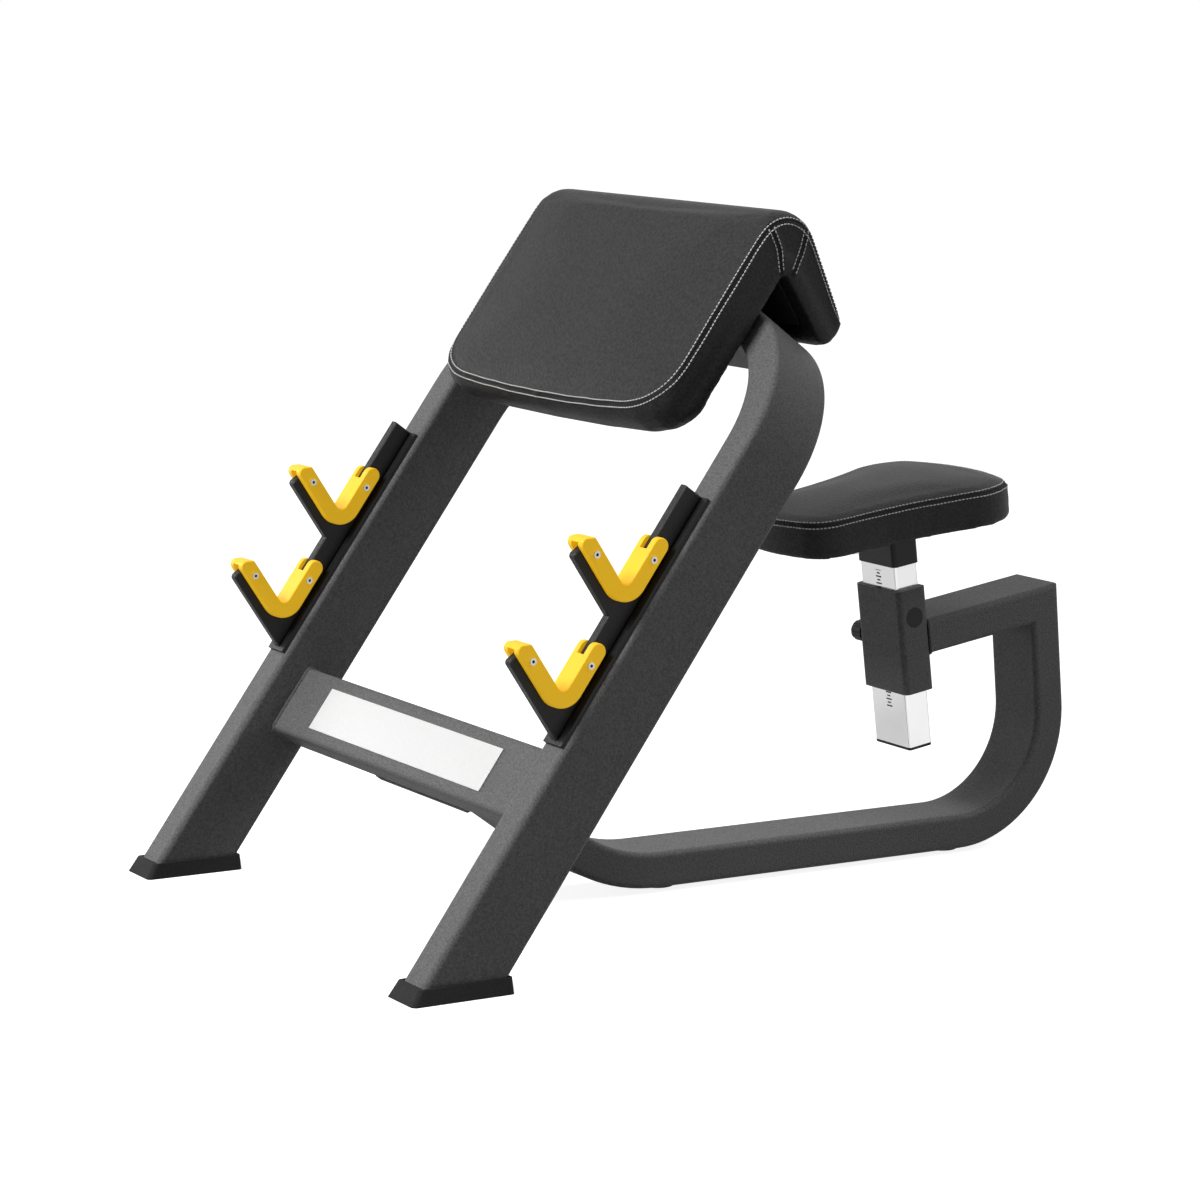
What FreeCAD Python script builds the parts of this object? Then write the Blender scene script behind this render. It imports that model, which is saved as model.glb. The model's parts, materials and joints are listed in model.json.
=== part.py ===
"""Preacher curl bench: a leaning hoop frame with bar cradles, a V-shaped arm pad and a sliding seat.

Millimetres, +Z up, +X to the sitter's left, -Y to the front where the bar cradles are.
The origin lies on the floor, midway between the front of the foot caps and the back of the rear bend.
"""
import FreeCAD, Part
import os
import re
import Sketcher

Vector = FreeCAD.Vector

# Driving dimensions
SIZES = {
    # frame tubes
    "tube_wide": 100,
    "tube_thick": 50,
    "tube_wall": 3,
    "tube_corner": 8,
    # leaning hoop
    "leg_spacing": 710,
    "leg_lean": 55,
    "hoop_straight": 780,
    "hoop_radius": 167,
    "leg_end_height": 11,
    # cross tube, measured along the uprights
    "cross_centre": 289,
    "cross_setback": 42,
    "label_length": 442,
    "label_height": 62,
    "label_thick": 1.5,
    "label_offset": 22,
    # floor beam and rear post
    "flange_wide": 236,
    "flange_thick": 8,
    "flange_bolt": 10,
    "flange_bolt_head": 17,
    "flange_bolt_head_high": 7,
    "flange_bolt_length": 20,
    "flange_bolt_across": 88,
    "flange_bolt_up": 27,
    "beam_height": 7,
    "front_bend": 250,
    "rear_bend": 155,
    "rear_reach": 1088,
    "post_lean": 7,
    # foot caps
    "cap_height": 20,
    "cap_base_wide": 66,
    "cap_top_wide": 58,
    "cap_front": 18,
    "cap_back": 4,
    "cap_top_front": 6,
    "cap_top_back": 3,
    "cap_corner": 7,
    "cap_clearance": 0.2,
    # round feet under the beam
    "foot_radius": 28,
    "foot_edge": 2.5,
    "front_foot_gap": 24,
    "rear_foot_gap": 3,
    "foot_screw": 8,
    "foot_screw_head": 16,
    "foot_screw_head_high": 3,
    "foot_screw_recess": 4.5,
    "foot_screw_length": 12,
    # bar cradles, measured down the uprights from the start of the hoop's bend
    "cradle_drop": 392.5,
    "cradle_pitch": 152,
    "cradle_end_drop": 88,
    "cradle_base_length": 357,
    "cradle_base_wide": 40,
    "cradle_base_thick": 5,
    "plate_thick": 15,
    "plate_edge": 6,
    "plate_round": 3,
    "plate_arm_wide": 30,
    "rest_height": 36.5,
    "liner_web": 4,
    "liner_band": 22,
    "liner_cheek": 10,
    "liner_inner_radius": 9,
    "liner_outer_radius": 31,
    "liner_edge": 4,
    "liner_tip_reach": 14,
    "liner_tip_round": 8,
    "liner_round": 2,
    "rear_arm_length": 80,
    "rear_web_length": 58,
    "front_arm_length": 84,
    "liner_screw_rear": 50,
    "liner_screw_front": 64,
    "liner_screw": 5,
    "liner_screw_head": 9,
    "liner_screw_head_high": 2,
    "liner_socket": 4.4,
    "liner_socket_deep": 2.8,
    "liner_nut_high": 3.5,
    # arm pad, measured up and down from the hoop's crest
    "strap_wide": 50,
    "strap_thick": 8,
    "strap_length": 130,
    "strap_place": 120,
    "pad_bolt": 8,
    "pad_bolt_head": 15,
    "pad_bolt_head_high": 6,
    "pad_bolt_pitch": 42,
    "pad_bolt_edge": 22,
    "board_thick": 15,
    "pad_width": 544,
    "pad_board_inset": 30,
    "pad_rise": 42,
    "pad_drop": 200,
    "pad_low_bow": 16,
    "pad_corner": 60,
    "pad_under_corner": 10,
    "pad_under_drop": 160,
    "pad_under_bulge": 37,
    "pad_thick": 64,
    "pad_crown": 8,
    "pad_draw": 6,
    "ridge_radius": 45,
    "rear_slope": 22,
    "rear_outer_slope": 30,
    "rear_slab_length": 113,
    "rear_end_thick": 48,
    "rear_end_bulge": 10,
    # seat arm, sleeve and post, measured from the sleeve's centre along the post
    "sleeve_place": 989,
    "sleeve_height": 317,
    "seat_tilt": 9,
    "sleeve_length": 150,
    "boss_height": 34,
    "boss_radius": 14.5,
    "post_wide": 80,
    "post_deep": 40,
    "post_wall": 2,
    "post_corner": 4,
    "post_top": 155,
    "post_bottom": -155,
    "slide_clearance": 0.3,
    "end_cap_edge": 4,
    "end_cap_plug": 20,
    "collar_bottom": 109,
    "collar_wall": 2.5,
    "seat_plate_thick": 6,
    "seat_plate_wide": 150,
    "seat_plate_long": 190,
    "seat_plate_place": -22,
    "seat_bolt": 8,
    "seat_bolt_head": 13,
    "seat_bolt_head_high": 5,
    "seat_bolt_inset": 18,
    # seat cushion: half widths and places of its outline, and how far each side bows
    "seat_front_half": 62,
    "seat_front": 198,
    "seat_front_bow": 7,
    "seat_shoulder_half": 108,
    "seat_shoulder": 150,
    "seat_shoulder_bow": 12.7,
    "seat_hip_half": 135,
    "seat_hip": 45,
    "seat_waist_dip": 8.4,
    "seat_rear_half": 118,
    "seat_rear": 135,
    "seat_corner_bow": 15.2,
    "seat_rear_bow": 22,
    "seat_thick": 56,
    "seat_crown": 9,
    "seat_draw": 3.5,
    "seat_board_inset": 16,
    # seat lock
    "clamp_height": -5,
    "clamp_boss_radius": 13,
    "clamp_boss_length": 11,
    "clamp_screw": 10,
    "clamp_clearance": 0.3,
    "clamp_pad_radius": 8,
    "clamp_pad_thick": 3.5,
    "clamp_pad_socket": 1.5,
    "clamp_touch": 0.1,
    "clamp_gap": 2,
    "clamp_knob_radius": 15,
    "clamp_knob_length": 22,
    "clamp_knob_socket": 14,
    "clamp_knob_flutes": 8,
    "clamp_flute_radius": 3,
}

document = FreeCAD.newDocument("PreacherBench")
sheet = document.addObject("Spreadsheet::Sheet", "Sizes")
for row, (name, size) in enumerate(SIZES.items(), start=1):
    sheet.set(f"A{row}", str(size))
    sheet.setAlias(f"A{row}", name)
document.recompute()

# Sizes that follow from the driving dimensions, as expressions in the sheet's words
MID_Y = "((rear_reach + rear_bend + tube_thick/2 - cap_front)/2)"
HOOP_TOP = "(hoop_straight + hoop_radius)"
HOOP_CREST = "(hoop_straight + hoop_radius + tube_thick/2)"
STRAP_LOW = f"({HOOP_CREST} - strap_length)"
PAD_LOW = f"({HOOP_CREST} - pad_drop)"
PAD_UNDER_LOW = f"({HOOP_CREST} - pad_under_drop)"
CRADLE_END = "(hoop_straight - cradle_end_drop)"
LEG_DEEP = "(tube_wide/sin(leg_lean))"
CROSS_MIDDLE = "(cross_setback + tube_thick/2)"
CROSS_BACK = "(cross_setback + tube_thick)"
FLANGE_BACK = "(cross_setback + tube_thick + flange_thick)"
BORE_WIDE = "(tube_wide - 2*tube_wall)"
BORE_THICK = "(tube_thick - 2*tube_wall)"
CRADLE_OPEN = "(2*(90 - leg_lean))"
LINER_WIDE = "(plate_thick + 2*liner_cheek)"
SEAT_UNDER = "(post_top + seat_plate_thick)"
CLAMP_SOCKET = "(post_wide/2 + clamp_touch + clamp_pad_thick - clamp_pad_socket)"
KNOB_START = "(tube_wide/2 + clamp_boss_length + clamp_gap)"

# The floor beam's centre line, Y counted from the front of the uprights and Z from the floor
BEAM_CENTRE = "(beam_height + tube_thick/2)"
BEAM_START = (
    f"(cross_centre*cos(leg_lean) + {FLANGE_BACK}*sin(leg_lean))",
    f"(cap_height + cross_centre*sin(leg_lean) - {FLANGE_BACK}*cos(leg_lean))",
)
DIP_LEVEL = f"({BEAM_CENTRE} + front_bend*(1 - sin(leg_lean)))"
DIP_START = (f"({BEAM_START[0]} + ({BEAM_START[1]} - {DIP_LEVEL})*tan(leg_lean))", DIP_LEVEL)
DIP_END = (f"({DIP_START[0]} + front_bend*cos(leg_lean))", BEAM_CENTRE)
FOOT_PLACES = (f"({DIP_END[0]} + front_foot_gap)", "(rear_reach - rear_foot_gap)")
RISE_END = (
    "(rear_reach + rear_bend*cos(post_lean))",
    f"({BEAM_CENTRE} + rear_bend*(1 + sin(post_lean)))",
)
ARM_LEVEL = f"(sleeve_height + ({RISE_END[0]} - sleeve_place)*tan(seat_tilt))"
POST_RUN = f"(({ARM_LEVEL} - {RISE_END[1]})/(cos(post_lean) + sin(post_lean)*tan(seat_tilt)))"
MITRE = (
    f"({RISE_END[0]} - {POST_RUN}*sin(post_lean))",
    f"({RISE_END[1]} + {POST_RUN}*cos(post_lean))",
)
MITRE_ANGLE = "(225 + (seat_tilt + post_lean)/2)"
ARM_RUN = f"(({MITRE[0]} - sleeve_place)/cos(seat_tilt))"

# The peak where the arm pad's inner faces meet, and where the outer faces of its boards meet
PAD_PEAK = ("-strap_thick", f"({HOOP_CREST} + pad_rise)")
BOARD_PEAK = (
    "(-strap_thick - board_thick)",
    f"({PAD_PEAK[1]} + board_thick*(1 + sin(rear_slope))/cos(rear_slope))",
)

LEVEL_CLOSE = 1e-4
SIDES = {"left": 1, "right": -1}
PIECES = []


def words(text):
    """Turn an expression in the sheet's words into one that the document understands."""
    return re.sub(r"[a-z]\w*", lambda m: f"Sizes.{m[0]}" if m[0] in SIZES else m[0], str(text))


def number(text):
    """The present value of an expression."""
    return float(sheet.evalExpression(words(text)))


def bind(thing, prop, text):
    """Set a property now and keep it tied to the sheet."""
    thing.setExpression(prop, words(text))


def turned_about_x(turn):
    """A placement that keeps X as its axis, also where the turn is nothing."""
    return FreeCAD.Placement(Vector(0, 0, 0), FreeCAD.Rotation(Vector(1, 0, 0), number(turn) or LEVEL_CLOSE))


def new_body(label, place=("0", "0", "0"), turn="0"):
    """A body at a place, turned about X."""
    body = document.addObject("PartDesign::Body", label)
    body.Label = label
    body.AllowCompound = True
    body.Placement = turned_about_x(turn)
    for axis, text in zip("xyz", place):
        bind(body, f"Placement.Base.{axis}", text)
    bind(body, "Placement.Rotation.Angle", turn)
    PIECES.append(body)
    return body


def leg_body(label):
    """A body in the hoop's frame: Z runs up the uprights, Y goes back from their front faces."""
    return new_body(label, ("0", f"-{MID_Y}", "cap_height"), "leg_lean - 90")


def floor_body(label):
    """A body level with the floor, Y counted from the front of the uprights."""
    return new_body(label, ("0", f"-{MID_Y}", "0"))


def seat_body(label):
    """A body in the seat's frame: Z runs up the post, Y goes back, from the sleeve's centre."""
    return new_body(label, ("0", f"sleeve_place - {MID_Y}", "sleeve_height"), "seat_tilt")


def new_sketch(body, role, offset="0", raised="0", tilt="0"):
    """A sketch on one of the body's own origin planes, moved along its normal, raised and tilted."""
    sketch = body.newObject("Sketcher::SketchObject", f"{body.Label}_sketch")
    plane = next(item for item in body.Origin.OriginFeatures if item.Role == role)
    sketch.AttachmentSupport = [(plane, "")]
    sketch.MapMode = "FlatFace"
    sketch.AttachmentOffset = turned_about_x(tilt)
    bind(sketch, "AttachmentOffset.Base.y", raised)
    bind(sketch, "AttachmentOffset.Base.z", offset)
    bind(sketch, "AttachmentOffset.Rotation.Angle", tilt)
    return sketch


def flat(place):
    """A sketch point as a vector."""
    return Vector(number(place[0]), number(place[1]), 0)


def locate(sketch, element, point, place):
    """Hold a sketch point at a place given by two expressions."""
    for kind, text in zip(("DistanceX", "DistanceY"), place):
        index = sketch.addConstraint(Sketcher.Constraint(kind, -1, 1, element, point, number(text)))
        bind(sketch, f"Constraints[{index}]", text)


def hold_radius(sketch, element, text):
    """Hold the radius of an arc or circle."""
    index = sketch.addConstraint(Sketcher.Constraint("Radius", element, number(text)))
    bind(sketch, f"Constraints[{index}]", text)


def top_of_arc(start, end, centre, radius):
    """The middle of the short arc about a centre from one point to another."""
    outward = (start + end) * 0.5 - centre
    return centre + outward.normalize() * radius


def top_of_bulge(start, end, bulge):
    """The middle of an arc that stands out by a bulge to the right of its chord."""
    chord = end - start
    aside = Vector(chord.y, -chord.x, 0).normalize()
    return (start + end) * 0.5 + aside * bulge


def bulge_radius(start, end, bulge):
    """The radius of a bulged arc as an expression."""
    across = f"(({end[0]}) - ({start[0]}))"
    upward = f"(({end[1]}) - ({start[1]}))"
    return f"(({across}^2 + {upward}^2)/4 + ({bulge})^2)/(2*abs({bulge}))"


def draw_chain(sketch, start, steps, closed=True):
    """Lines and arcs end to end.

    A step is (end,) for a line, (end, bulge) or (end, centre, radius) for an arc.
    """
    begin = start
    ends = []
    for step in steps:
        first, last = flat(begin), flat(step[0])
        near, far = 1, 2
        if len(step) == 1:
            index = sketch.addGeometry(Part.LineSegment(first, last))
        else:
            if len(step) == 2:
                top = top_of_bulge(first, last, number(step[1]))
                radius = bulge_radius(begin, *step)
            else:
                top = top_of_arc(first, last, flat(step[1]), number(step[2]))
                radius = step[2]
            if (top - first).cross(last - top).z < 0:
                first, last = last, first
                near, far = far, near
            index = sketch.addGeometry(Part.Arc(first, top, last))
            hold_radius(sketch, index, radius)
        locate(sketch, index, near, begin)
        if ends:
            sketch.addConstraint(Sketcher.Constraint("Coincident", *ends[-1][2:], index, near))
        ends.append((index, near, index, far))
        begin = step[0]
    if closed:
        sketch.addConstraint(Sketcher.Constraint("Coincident", *ends[-1][2:], *ends[0][:2]))
    else:
        locate(sketch, *ends[-1][2:], begin)


def draw_polygon(sketch, corners):
    """A closed outline of straight lines."""
    draw_chain(sketch, corners[0], [(corner,) for corner in corners[1:] + corners[:1]])


def draw_hexagon(sketch, centre, radius):
    """A regular hexagon about a centre, by the radius to its corners."""
    x, y = centre
    draw_polygon(sketch, [
        (f"{x} + {radius}*cos({turn})", f"{y} + {radius}*sin({turn})") for turn in range(0, 360, 60)
    ])


def draw_rectangle(sketch, left, right, low, high):
    """A rectangle by its four sides."""
    draw_polygon(sketch, [(left, low), (right, low), (right, high), (left, high)])


def draw_rounded(sketch, wide, high, corner, centre=("0", "0")):
    """A rectangle with rounded corners about a centre."""
    x, y = centre
    across = [f"({x}) + {s}*(({wide})/2 - {t}*({corner}))" for s in (-1, 1) for t in (0, 1)]
    upward = [f"({y}) + {s}*(({high})/2 - {t}*({corner}))" for s in (-1, 1) for t in (0, 1)]
    left, left_in, right, right_in = across
    low, low_in, top, top_in = upward
    draw_chain(sketch, (left_in, low), [
        ((right_in, low),),
        ((right, low_in), (right_in, low_in), corner),
        ((right, top_in),),
        ((right_in, top), (right_in, top_in), corner),
        ((left_in, top),),
        ((left, top_in), (left_in, top_in), corner),
        ((left, low_in),),
        ((left_in, low), (left_in, low_in), corner),
    ])


def draw_tube(sketch, wide, high, corner, wall, centre=("0", "0")):
    """The section of a tube: a rounded rectangle and its bore."""
    draw_rounded(sketch, wide, high, corner, centre)
    draw_rounded(sketch, f"{wide} - 2*{wall}", f"{high} - 2*{wall}", f"{corner} - {wall}", centre)


def draw_circle(sketch, centre, radius):
    """A circle held at its centre."""
    index = sketch.addGeometry(Part.Circle(flat(centre), Vector(0, 0, 1), number(radius)))
    locate(sketch, index, 3, centre)
    hold_radius(sketch, index, radius)


def pad(body, sketch, length, side="One side", reverse=False):
    """Raise a sketch into a solid."""
    feature = body.newObject("PartDesign::Pad", f"{body.Label}_pad")
    feature.Profile = sketch
    feature.SideType = side
    feature.Reversed = reverse
    bind(feature, "Length", length)
    document.recompute()
    return feature


def pocket(body, sketch, length, side="Symmetric", reverse=False):
    """Cut a sketch out of the solid, and make sure that it cuts."""
    before = body.Shape.Volume
    feature = body.newObject("PartDesign::Pocket", f"{body.Label}_pocket")
    feature.Profile = sketch
    feature.SideType = side
    feature.Reversed = reverse
    bind(feature, "Length", length)
    document.recompute()
    if not body.Shape.Volume < before - 0.01:
        raise ValueError(f"a pocket of {body.Label} cuts nothing")
    return feature


def loft(body, kind, first, *others):
    """A straight-sided solid or cut from sketch to sketch."""
    feature = body.newObject(f"PartDesign::{kind}Loft", f"{body.Label}_loft")
    feature.Profile = first
    feature.Sections = list(others)
    feature.Ruled = True
    document.recompute()
    return feature


def fillet(body, radius, chosen):
    """Round the edges that a test picks out."""
    base = body.Tip
    names = [f"Edge{i}" for i, edge in enumerate(base.Shape.Edges, start=1) if chosen(edge)]
    feature = body.newObject("PartDesign::Fillet", f"{body.Label}_fillet")
    feature.Base = (base, names)
    bind(feature, "Radius", radius)
    document.recompute()
    return feature


def at_level(axis, level):
    """A test for edges that lie wholly at one level along an axis."""
    height = number(level)

    def chosen(edge):
        box = edge.BoundBox
        low = getattr(box, f"{axis}Min")
        high = getattr(box, f"{axis}Max")
        return abs(low - height) < LEVEL_CLOSE and abs(high - height) < LEVEL_CLOSE

    return chosen


def through(place):
    """A test for edges along X that pass through a point of the YZ plane."""
    target = flat(place)

    def chosen(edge):
        box = edge.BoundBox
        middle = Vector((box.YMin + box.YMax) / 2, (box.ZMin + box.ZMax) / 2, 0)
        level = box.YLength < LEVEL_CLOSE and box.ZLength < LEVEL_CLOSE
        return level and (middle - target).Length < LEVEL_CLOSE

    return chosen


def swept_tube(body, section, path_plane, start, steps):
    """A bent frame tube: a hollow section carried along a path of lines and arcs."""
    path = new_sketch(body, path_plane)
    draw_chain(path, start, steps, closed=False)
    for kind, wall in (("Additive", "0"), ("Subtractive", "tube_wall")):
        profile = new_sketch(body, *section["plane"])
        wide, high = (f"{size} - 2*{wall}" for size in section["sizes"])
        draw_rounded(profile, wide, high, f"tube_corner - {wall}", section["centre"])
        sweep = body.newObject(f"PartDesign::{kind}Pipe", f"{body.Label}_sweep")
        sweep.Profile = profile
        sweep.Spine = (path, [f"Edge{i + 1}" for i in range(len(steps))])
        document.recompute()


def in_leg_frame(y, z):
    """A point of the middle plane, given level with the floor, in the hoop's frame."""
    rise = f"(({z}) - cap_height)"
    return (
        f"(({y})*sin(leg_lean) - {rise}*cos(leg_lean))",
        f"(({y})*cos(leg_lean) + {rise}*sin(leg_lean))",
    )


def make_uprights():
    """The two halves of the hoop: a leaning leg, the bend at its top and half of the top tube."""
    body = leg_body("left_upright")
    x = "leg_spacing/2"
    bend_x = "(leg_spacing/2 - hoop_radius)"
    section = {
        "plane": ("XY_Plane", "-tube_thick"),
        "sizes": ("tube_thick", "tube_wide"),
        "centre": (x, "tube_wide/2"),
    }
    swept_tube(body, section, "XZ_Plane", (x, "-tube_thick"), [
        ((x, "hoop_straight"),),
        ((bend_x, HOOP_TOP), (bend_x, "hoop_straight"), "hoop_radius"),
        (("0", HOOP_TOP),),
    ])
    foot = new_sketch(body, "YZ_Plane")
    draw_polygon(foot, [
        in_leg_frame("-tube_wide", "leg_end_height"),
        in_leg_frame("2*tube_wide", "leg_end_height"),
        in_leg_frame("2*tube_wide", "-2*tube_wide"),
        in_leg_frame("-tube_wide", "-2*tube_wide"),
    ])
    pocket(body, foot, "2*leg_spacing")
    twin = document.addObject("Part::Mirroring", "right_upright")
    twin.Label = "right_upright"
    twin.Source = body
    twin.Normal = Vector(1, 0, 0)
    PIECES.append(twin)


def flange_bolt_circles(sketch, radius):
    """Circles at the four bolts of the beam's flange."""
    for across in (-1, 1):
        for upward in (-1, 1):
            place = (f"{across}*flange_bolt_across", f"cross_centre + {upward}*flange_bolt_up")
            draw_circle(sketch, place, radius)


def make_flange():
    """The plate on the front end of the floor beam and the bolts that hold it to the cross tube."""
    plate = leg_body("beam_flange")
    outline = new_sketch(plate, "XZ_Plane", f"-{CROSS_BACK}")
    draw_rounded(outline, "flange_wide", "tube_wide", "tube_corner", ("0", "cross_centre"))
    flange_bolt_circles(outline, "flange_bolt/2")
    pad(plate, outline, "flange_thick", reverse=True)
    bolts = leg_body("flange_bolts")
    for radius, length, backward in (
        ("flange_bolt_head/2", "flange_bolt_head_high", True),
        ("flange_bolt/2", "flange_bolt_length", False),
    ):
        rounds = new_sketch(bolts, "XZ_Plane", f"-{FLANGE_BACK}")
        flange_bolt_circles(rounds, radius)
        pad(bolts, rounds, length, reverse=backward)


def make_cross_tube():
    """The low cross member and the bare plate on its front."""
    body = leg_body("cross_tube")
    section = new_sketch(body, "YZ_Plane")
    draw_tube(section, "tube_thick", "tube_wide", "tube_corner", "tube_wall", (CROSS_MIDDLE, "cross_centre"))
    pad(body, section, "leg_spacing - tube_thick", "Symmetric")
    holes = new_sketch(body, "XZ_Plane", f"-{CROSS_MIDDLE}")
    flange_bolt_circles(holes, "flange_bolt/2")
    pocket(body, holes, "tube_thick", "One side")
    plate = leg_body("label_plate")
    outline = new_sketch(plate, "XZ_Plane", "-cross_setback")
    draw_rectangle(
        outline, "-label_offset - label_length/2", "-label_offset + label_length/2",
        "cross_centre - label_height/2", "cross_centre + label_height/2",
    )
    pad(plate, outline, "label_thick")


def mitre_cut(corner, angle, side):
    """Four corners of the waste on one side of a mitre plane that runs through a corner at an angle."""
    reach = "2*tube_wide"
    ahead = (f"{reach}*cos({angle})", f"{reach}*sin({angle})")
    aside = (f"{side}*{reach}*sin({angle})", f"{-side}*{reach}*cos({angle})")
    return [
        (f"{corner[0]} - {ahead[0]}", f"{corner[1]} - {ahead[1]}"),
        (f"{corner[0]} + {ahead[0]}", f"{corner[1]} + {ahead[1]}"),
        (f"{corner[0]} + {ahead[0]} + {aside[0]}", f"{corner[1]} + {ahead[1]} + {aside[1]}"),
        (f"{corner[0]} - {ahead[0]} + {aside[0]}", f"{corner[1]} - {ahead[1]} + {aside[1]}"),
    ]


def make_base_beam():
    """The bent tube from the cross tube along the floor and up to the seat arm."""
    body = floor_body("base_beam")
    section = {
        "plane": ("XZ_Plane", f"-{BEAM_START[0]}", BEAM_START[1], "leg_lean - 90"),
        "sizes": ("tube_wide", "tube_thick"),
        "centre": ("0", "0"),
    }
    swept_tube(body, section, "YZ_Plane", BEAM_START, [
        (DIP_START,),
        (DIP_END, (DIP_END[0], f"{BEAM_CENTRE} + front_bend"), "front_bend"),
        (("rear_reach", BEAM_CENTRE),),
        (RISE_END, ("rear_reach", f"{BEAM_CENTRE} + rear_bend"), "rear_bend"),
        ((f"{MITRE[0]} - tube_thick*sin(post_lean)", f"{MITRE[1]} + tube_thick*cos(post_lean)"),),
    ])
    top = new_sketch(body, "YZ_Plane")
    draw_polygon(top, mitre_cut(MITRE, MITRE_ANGLE, 1))
    pocket(body, top, "2*tube_wide")
    holes = new_sketch(body, "XY_Plane", BEAM_CENTRE)
    for place in FOOT_PLACES:
        draw_circle(holes, ("0", place), "foot_screw/2")
    pocket(body, holes, "tube_thick", "One side")


def make_beam_feet():
    """The round rubber feet under the beam and the screws that hold them."""
    for label, place in zip(("front_beam_foot", "rear_beam_foot"), FOOT_PLACES):
        body = floor_body(label)
        disc = new_sketch(body, "XY_Plane")
        draw_circle(disc, ("0", place), "foot_radius")
        pad(body, disc, "beam_height")
        fillet(body, "foot_edge", at_level("Z", "0"))
        for radius, depth in (("foot_screw_head/2", "foot_screw_recess"), ("foot_screw/2", "beam_height")):
            bore = new_sketch(body, "XY_Plane")
            draw_circle(bore, ("0", place), radius)
            pocket(body, bore, depth, "One side", reverse=True)
    screws = floor_body("beam_foot_screws")
    for radius, low, length in (
        ("foot_screw_head/2", "foot_screw_recess - foot_screw_head_high", "foot_screw_head_high"),
        ("foot_screw/2", "foot_screw_recess", "foot_screw_length"),
    ):
        rounds = new_sketch(screws, "XY_Plane", low)
        for place in FOOT_PLACES:
            draw_circle(rounds, ("0", place), radius)
        pad(screws, rounds, length)


def make_foot_cap(label, side):
    """A flared rubber cap with a slanting socket for the end of a leg."""
    body = new_body(label, (f"{side}*leg_spacing/2", f"-{MID_Y}", "0"))
    levels = (
        ("0", "cap_base_wide", "cap_front", "cap_back"),
        ("cap_height", "cap_top_wide", "cap_top_front", "cap_top_back"),
    )
    outlines = []
    for level, wide, front, back in levels:
        outline = new_sketch(body, "XY_Plane", level)
        draw_rounded(
            outline, wide, f"{LEG_DEEP} + {front} + {back}", "cap_corner",
            ("0", f"({LEG_DEEP} + {back} - {front})/2"),
        )
        outlines.append(outline)
    loft(body, "Additive", *outlines)
    sockets = []
    for level in ("leg_end_height", "cap_height"):
        socket = new_sketch(body, "XY_Plane", level)
        shift = f"({level} - cap_height)/tan(leg_lean)"
        draw_rectangle(
            socket, "-tube_thick/2 - cap_clearance", "tube_thick/2 + cap_clearance",
            f"{shift} - cap_clearance", f"{shift} + {LEG_DEEP} + cap_clearance",
        )
        sockets.append(socket)
    loft(body, "Subtractive", *sockets)


def make_seat_arm():
    """The tube from the rear post to the sleeve, mitred at the post."""
    body = seat_body("seat_arm")
    section = new_sketch(body, "XZ_Plane", "-tube_thick/2")
    draw_tube(section, "tube_wide", "tube_thick", "tube_corner", "tube_wall")
    pad(body, section, f"{ARM_RUN} + tube_thick", reverse=True)
    end = new_sketch(body, "YZ_Plane")
    draw_polygon(end, mitre_cut((ARM_RUN, "0"), f"({MITRE_ANGLE} - seat_tilt)", -1))
    pocket(body, end, "2*tube_wide")


def make_seat_sleeve():
    """The guide tube of the seat post, with a hole for the liner's boss and one for the lock."""
    body = seat_body("seat_sleeve")
    section = new_sketch(body, "XY_Plane", "-sleeve_length/2")
    draw_tube(section, "tube_wide", "tube_thick", "tube_corner", "tube_wall")
    pad(body, section, "sleeve_length")
    holes = (("boss_height", "boss_radius", True), ("clamp_height", "clamp_screw/2 + clamp_clearance", False))
    for height, radius, to_left in holes:
        hole = new_sketch(body, "YZ_Plane")
        draw_circle(hole, ("0", height), radius)
        pocket(body, hole, "tube_wide", "One side", reverse=to_left)


def make_sleeve_liner():
    """The plastic bush in the sleeve, with a round boss on its left and a window for the lock's pad."""
    body = seat_body("sleeve_liner")
    section = new_sketch(body, "XY_Plane", "-sleeve_length/2")
    draw_rounded(section, BORE_WIDE, BORE_THICK, "tube_corner - tube_wall")
    draw_rounded(
        section, "post_wide + 2*slide_clearance", "post_deep + 2*slide_clearance",
        "post_corner + slide_clearance",
    )
    pad(body, section, "sleeve_length")
    boss = new_sketch(body, "YZ_Plane", f"{BORE_WIDE}/2")
    draw_circle(boss, ("0", "boss_height"), "boss_radius - cap_clearance")
    pad(body, boss, "tube_wall")
    window = new_sketch(body, "YZ_Plane")
    draw_circle(window, ("0", "clamp_height"), "clamp_pad_radius + clamp_clearance")
    pocket(body, window, "tube_wide", "One side")


def make_seat_post():
    """The chromed post, the plug in its lower end and the collar round its head."""
    post = seat_body("seat_post")
    section = new_sketch(post, "XY_Plane", "post_bottom")
    draw_tube(section, "post_wide", "post_deep", "post_corner", "post_wall")
    pad(post, section, "post_top - post_bottom")
    cap = seat_body("post_end_cap")
    edge = new_sketch(cap, "XY_Plane", "post_bottom - end_cap_edge")
    draw_rounded(edge, "post_wide", "post_deep", "post_corner")
    pad(cap, edge, "end_cap_edge")
    plug = new_sketch(cap, "XY_Plane", "post_bottom")
    draw_rounded(plug, "post_wide - 2*post_wall", "post_deep - 2*post_wall", "post_corner - post_wall")
    pad(cap, plug, "end_cap_plug")
    collar = seat_body("seat_collar")
    ring = new_sketch(collar, "XY_Plane", "collar_bottom")
    draw_rounded(
        ring, "post_wide + 2*collar_wall", "post_deep + 2*collar_wall", "post_corner + collar_wall",
    )
    draw_rounded(ring, "post_wide", "post_deep", "post_corner")
    pad(collar, ring, "post_top - collar_bottom")


def seat_bolt_places():
    """The four corners of the seat plate where its bolts go."""
    across = "(seat_plate_wide/2 - seat_bolt_inset)"
    aside = "(seat_plate_long/2 - seat_bolt_inset)"
    return [(f"{i}*{across}", f"seat_plate_place + {j}*{aside}") for i in (-1, 1) for j in (-1, 1)]


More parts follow.
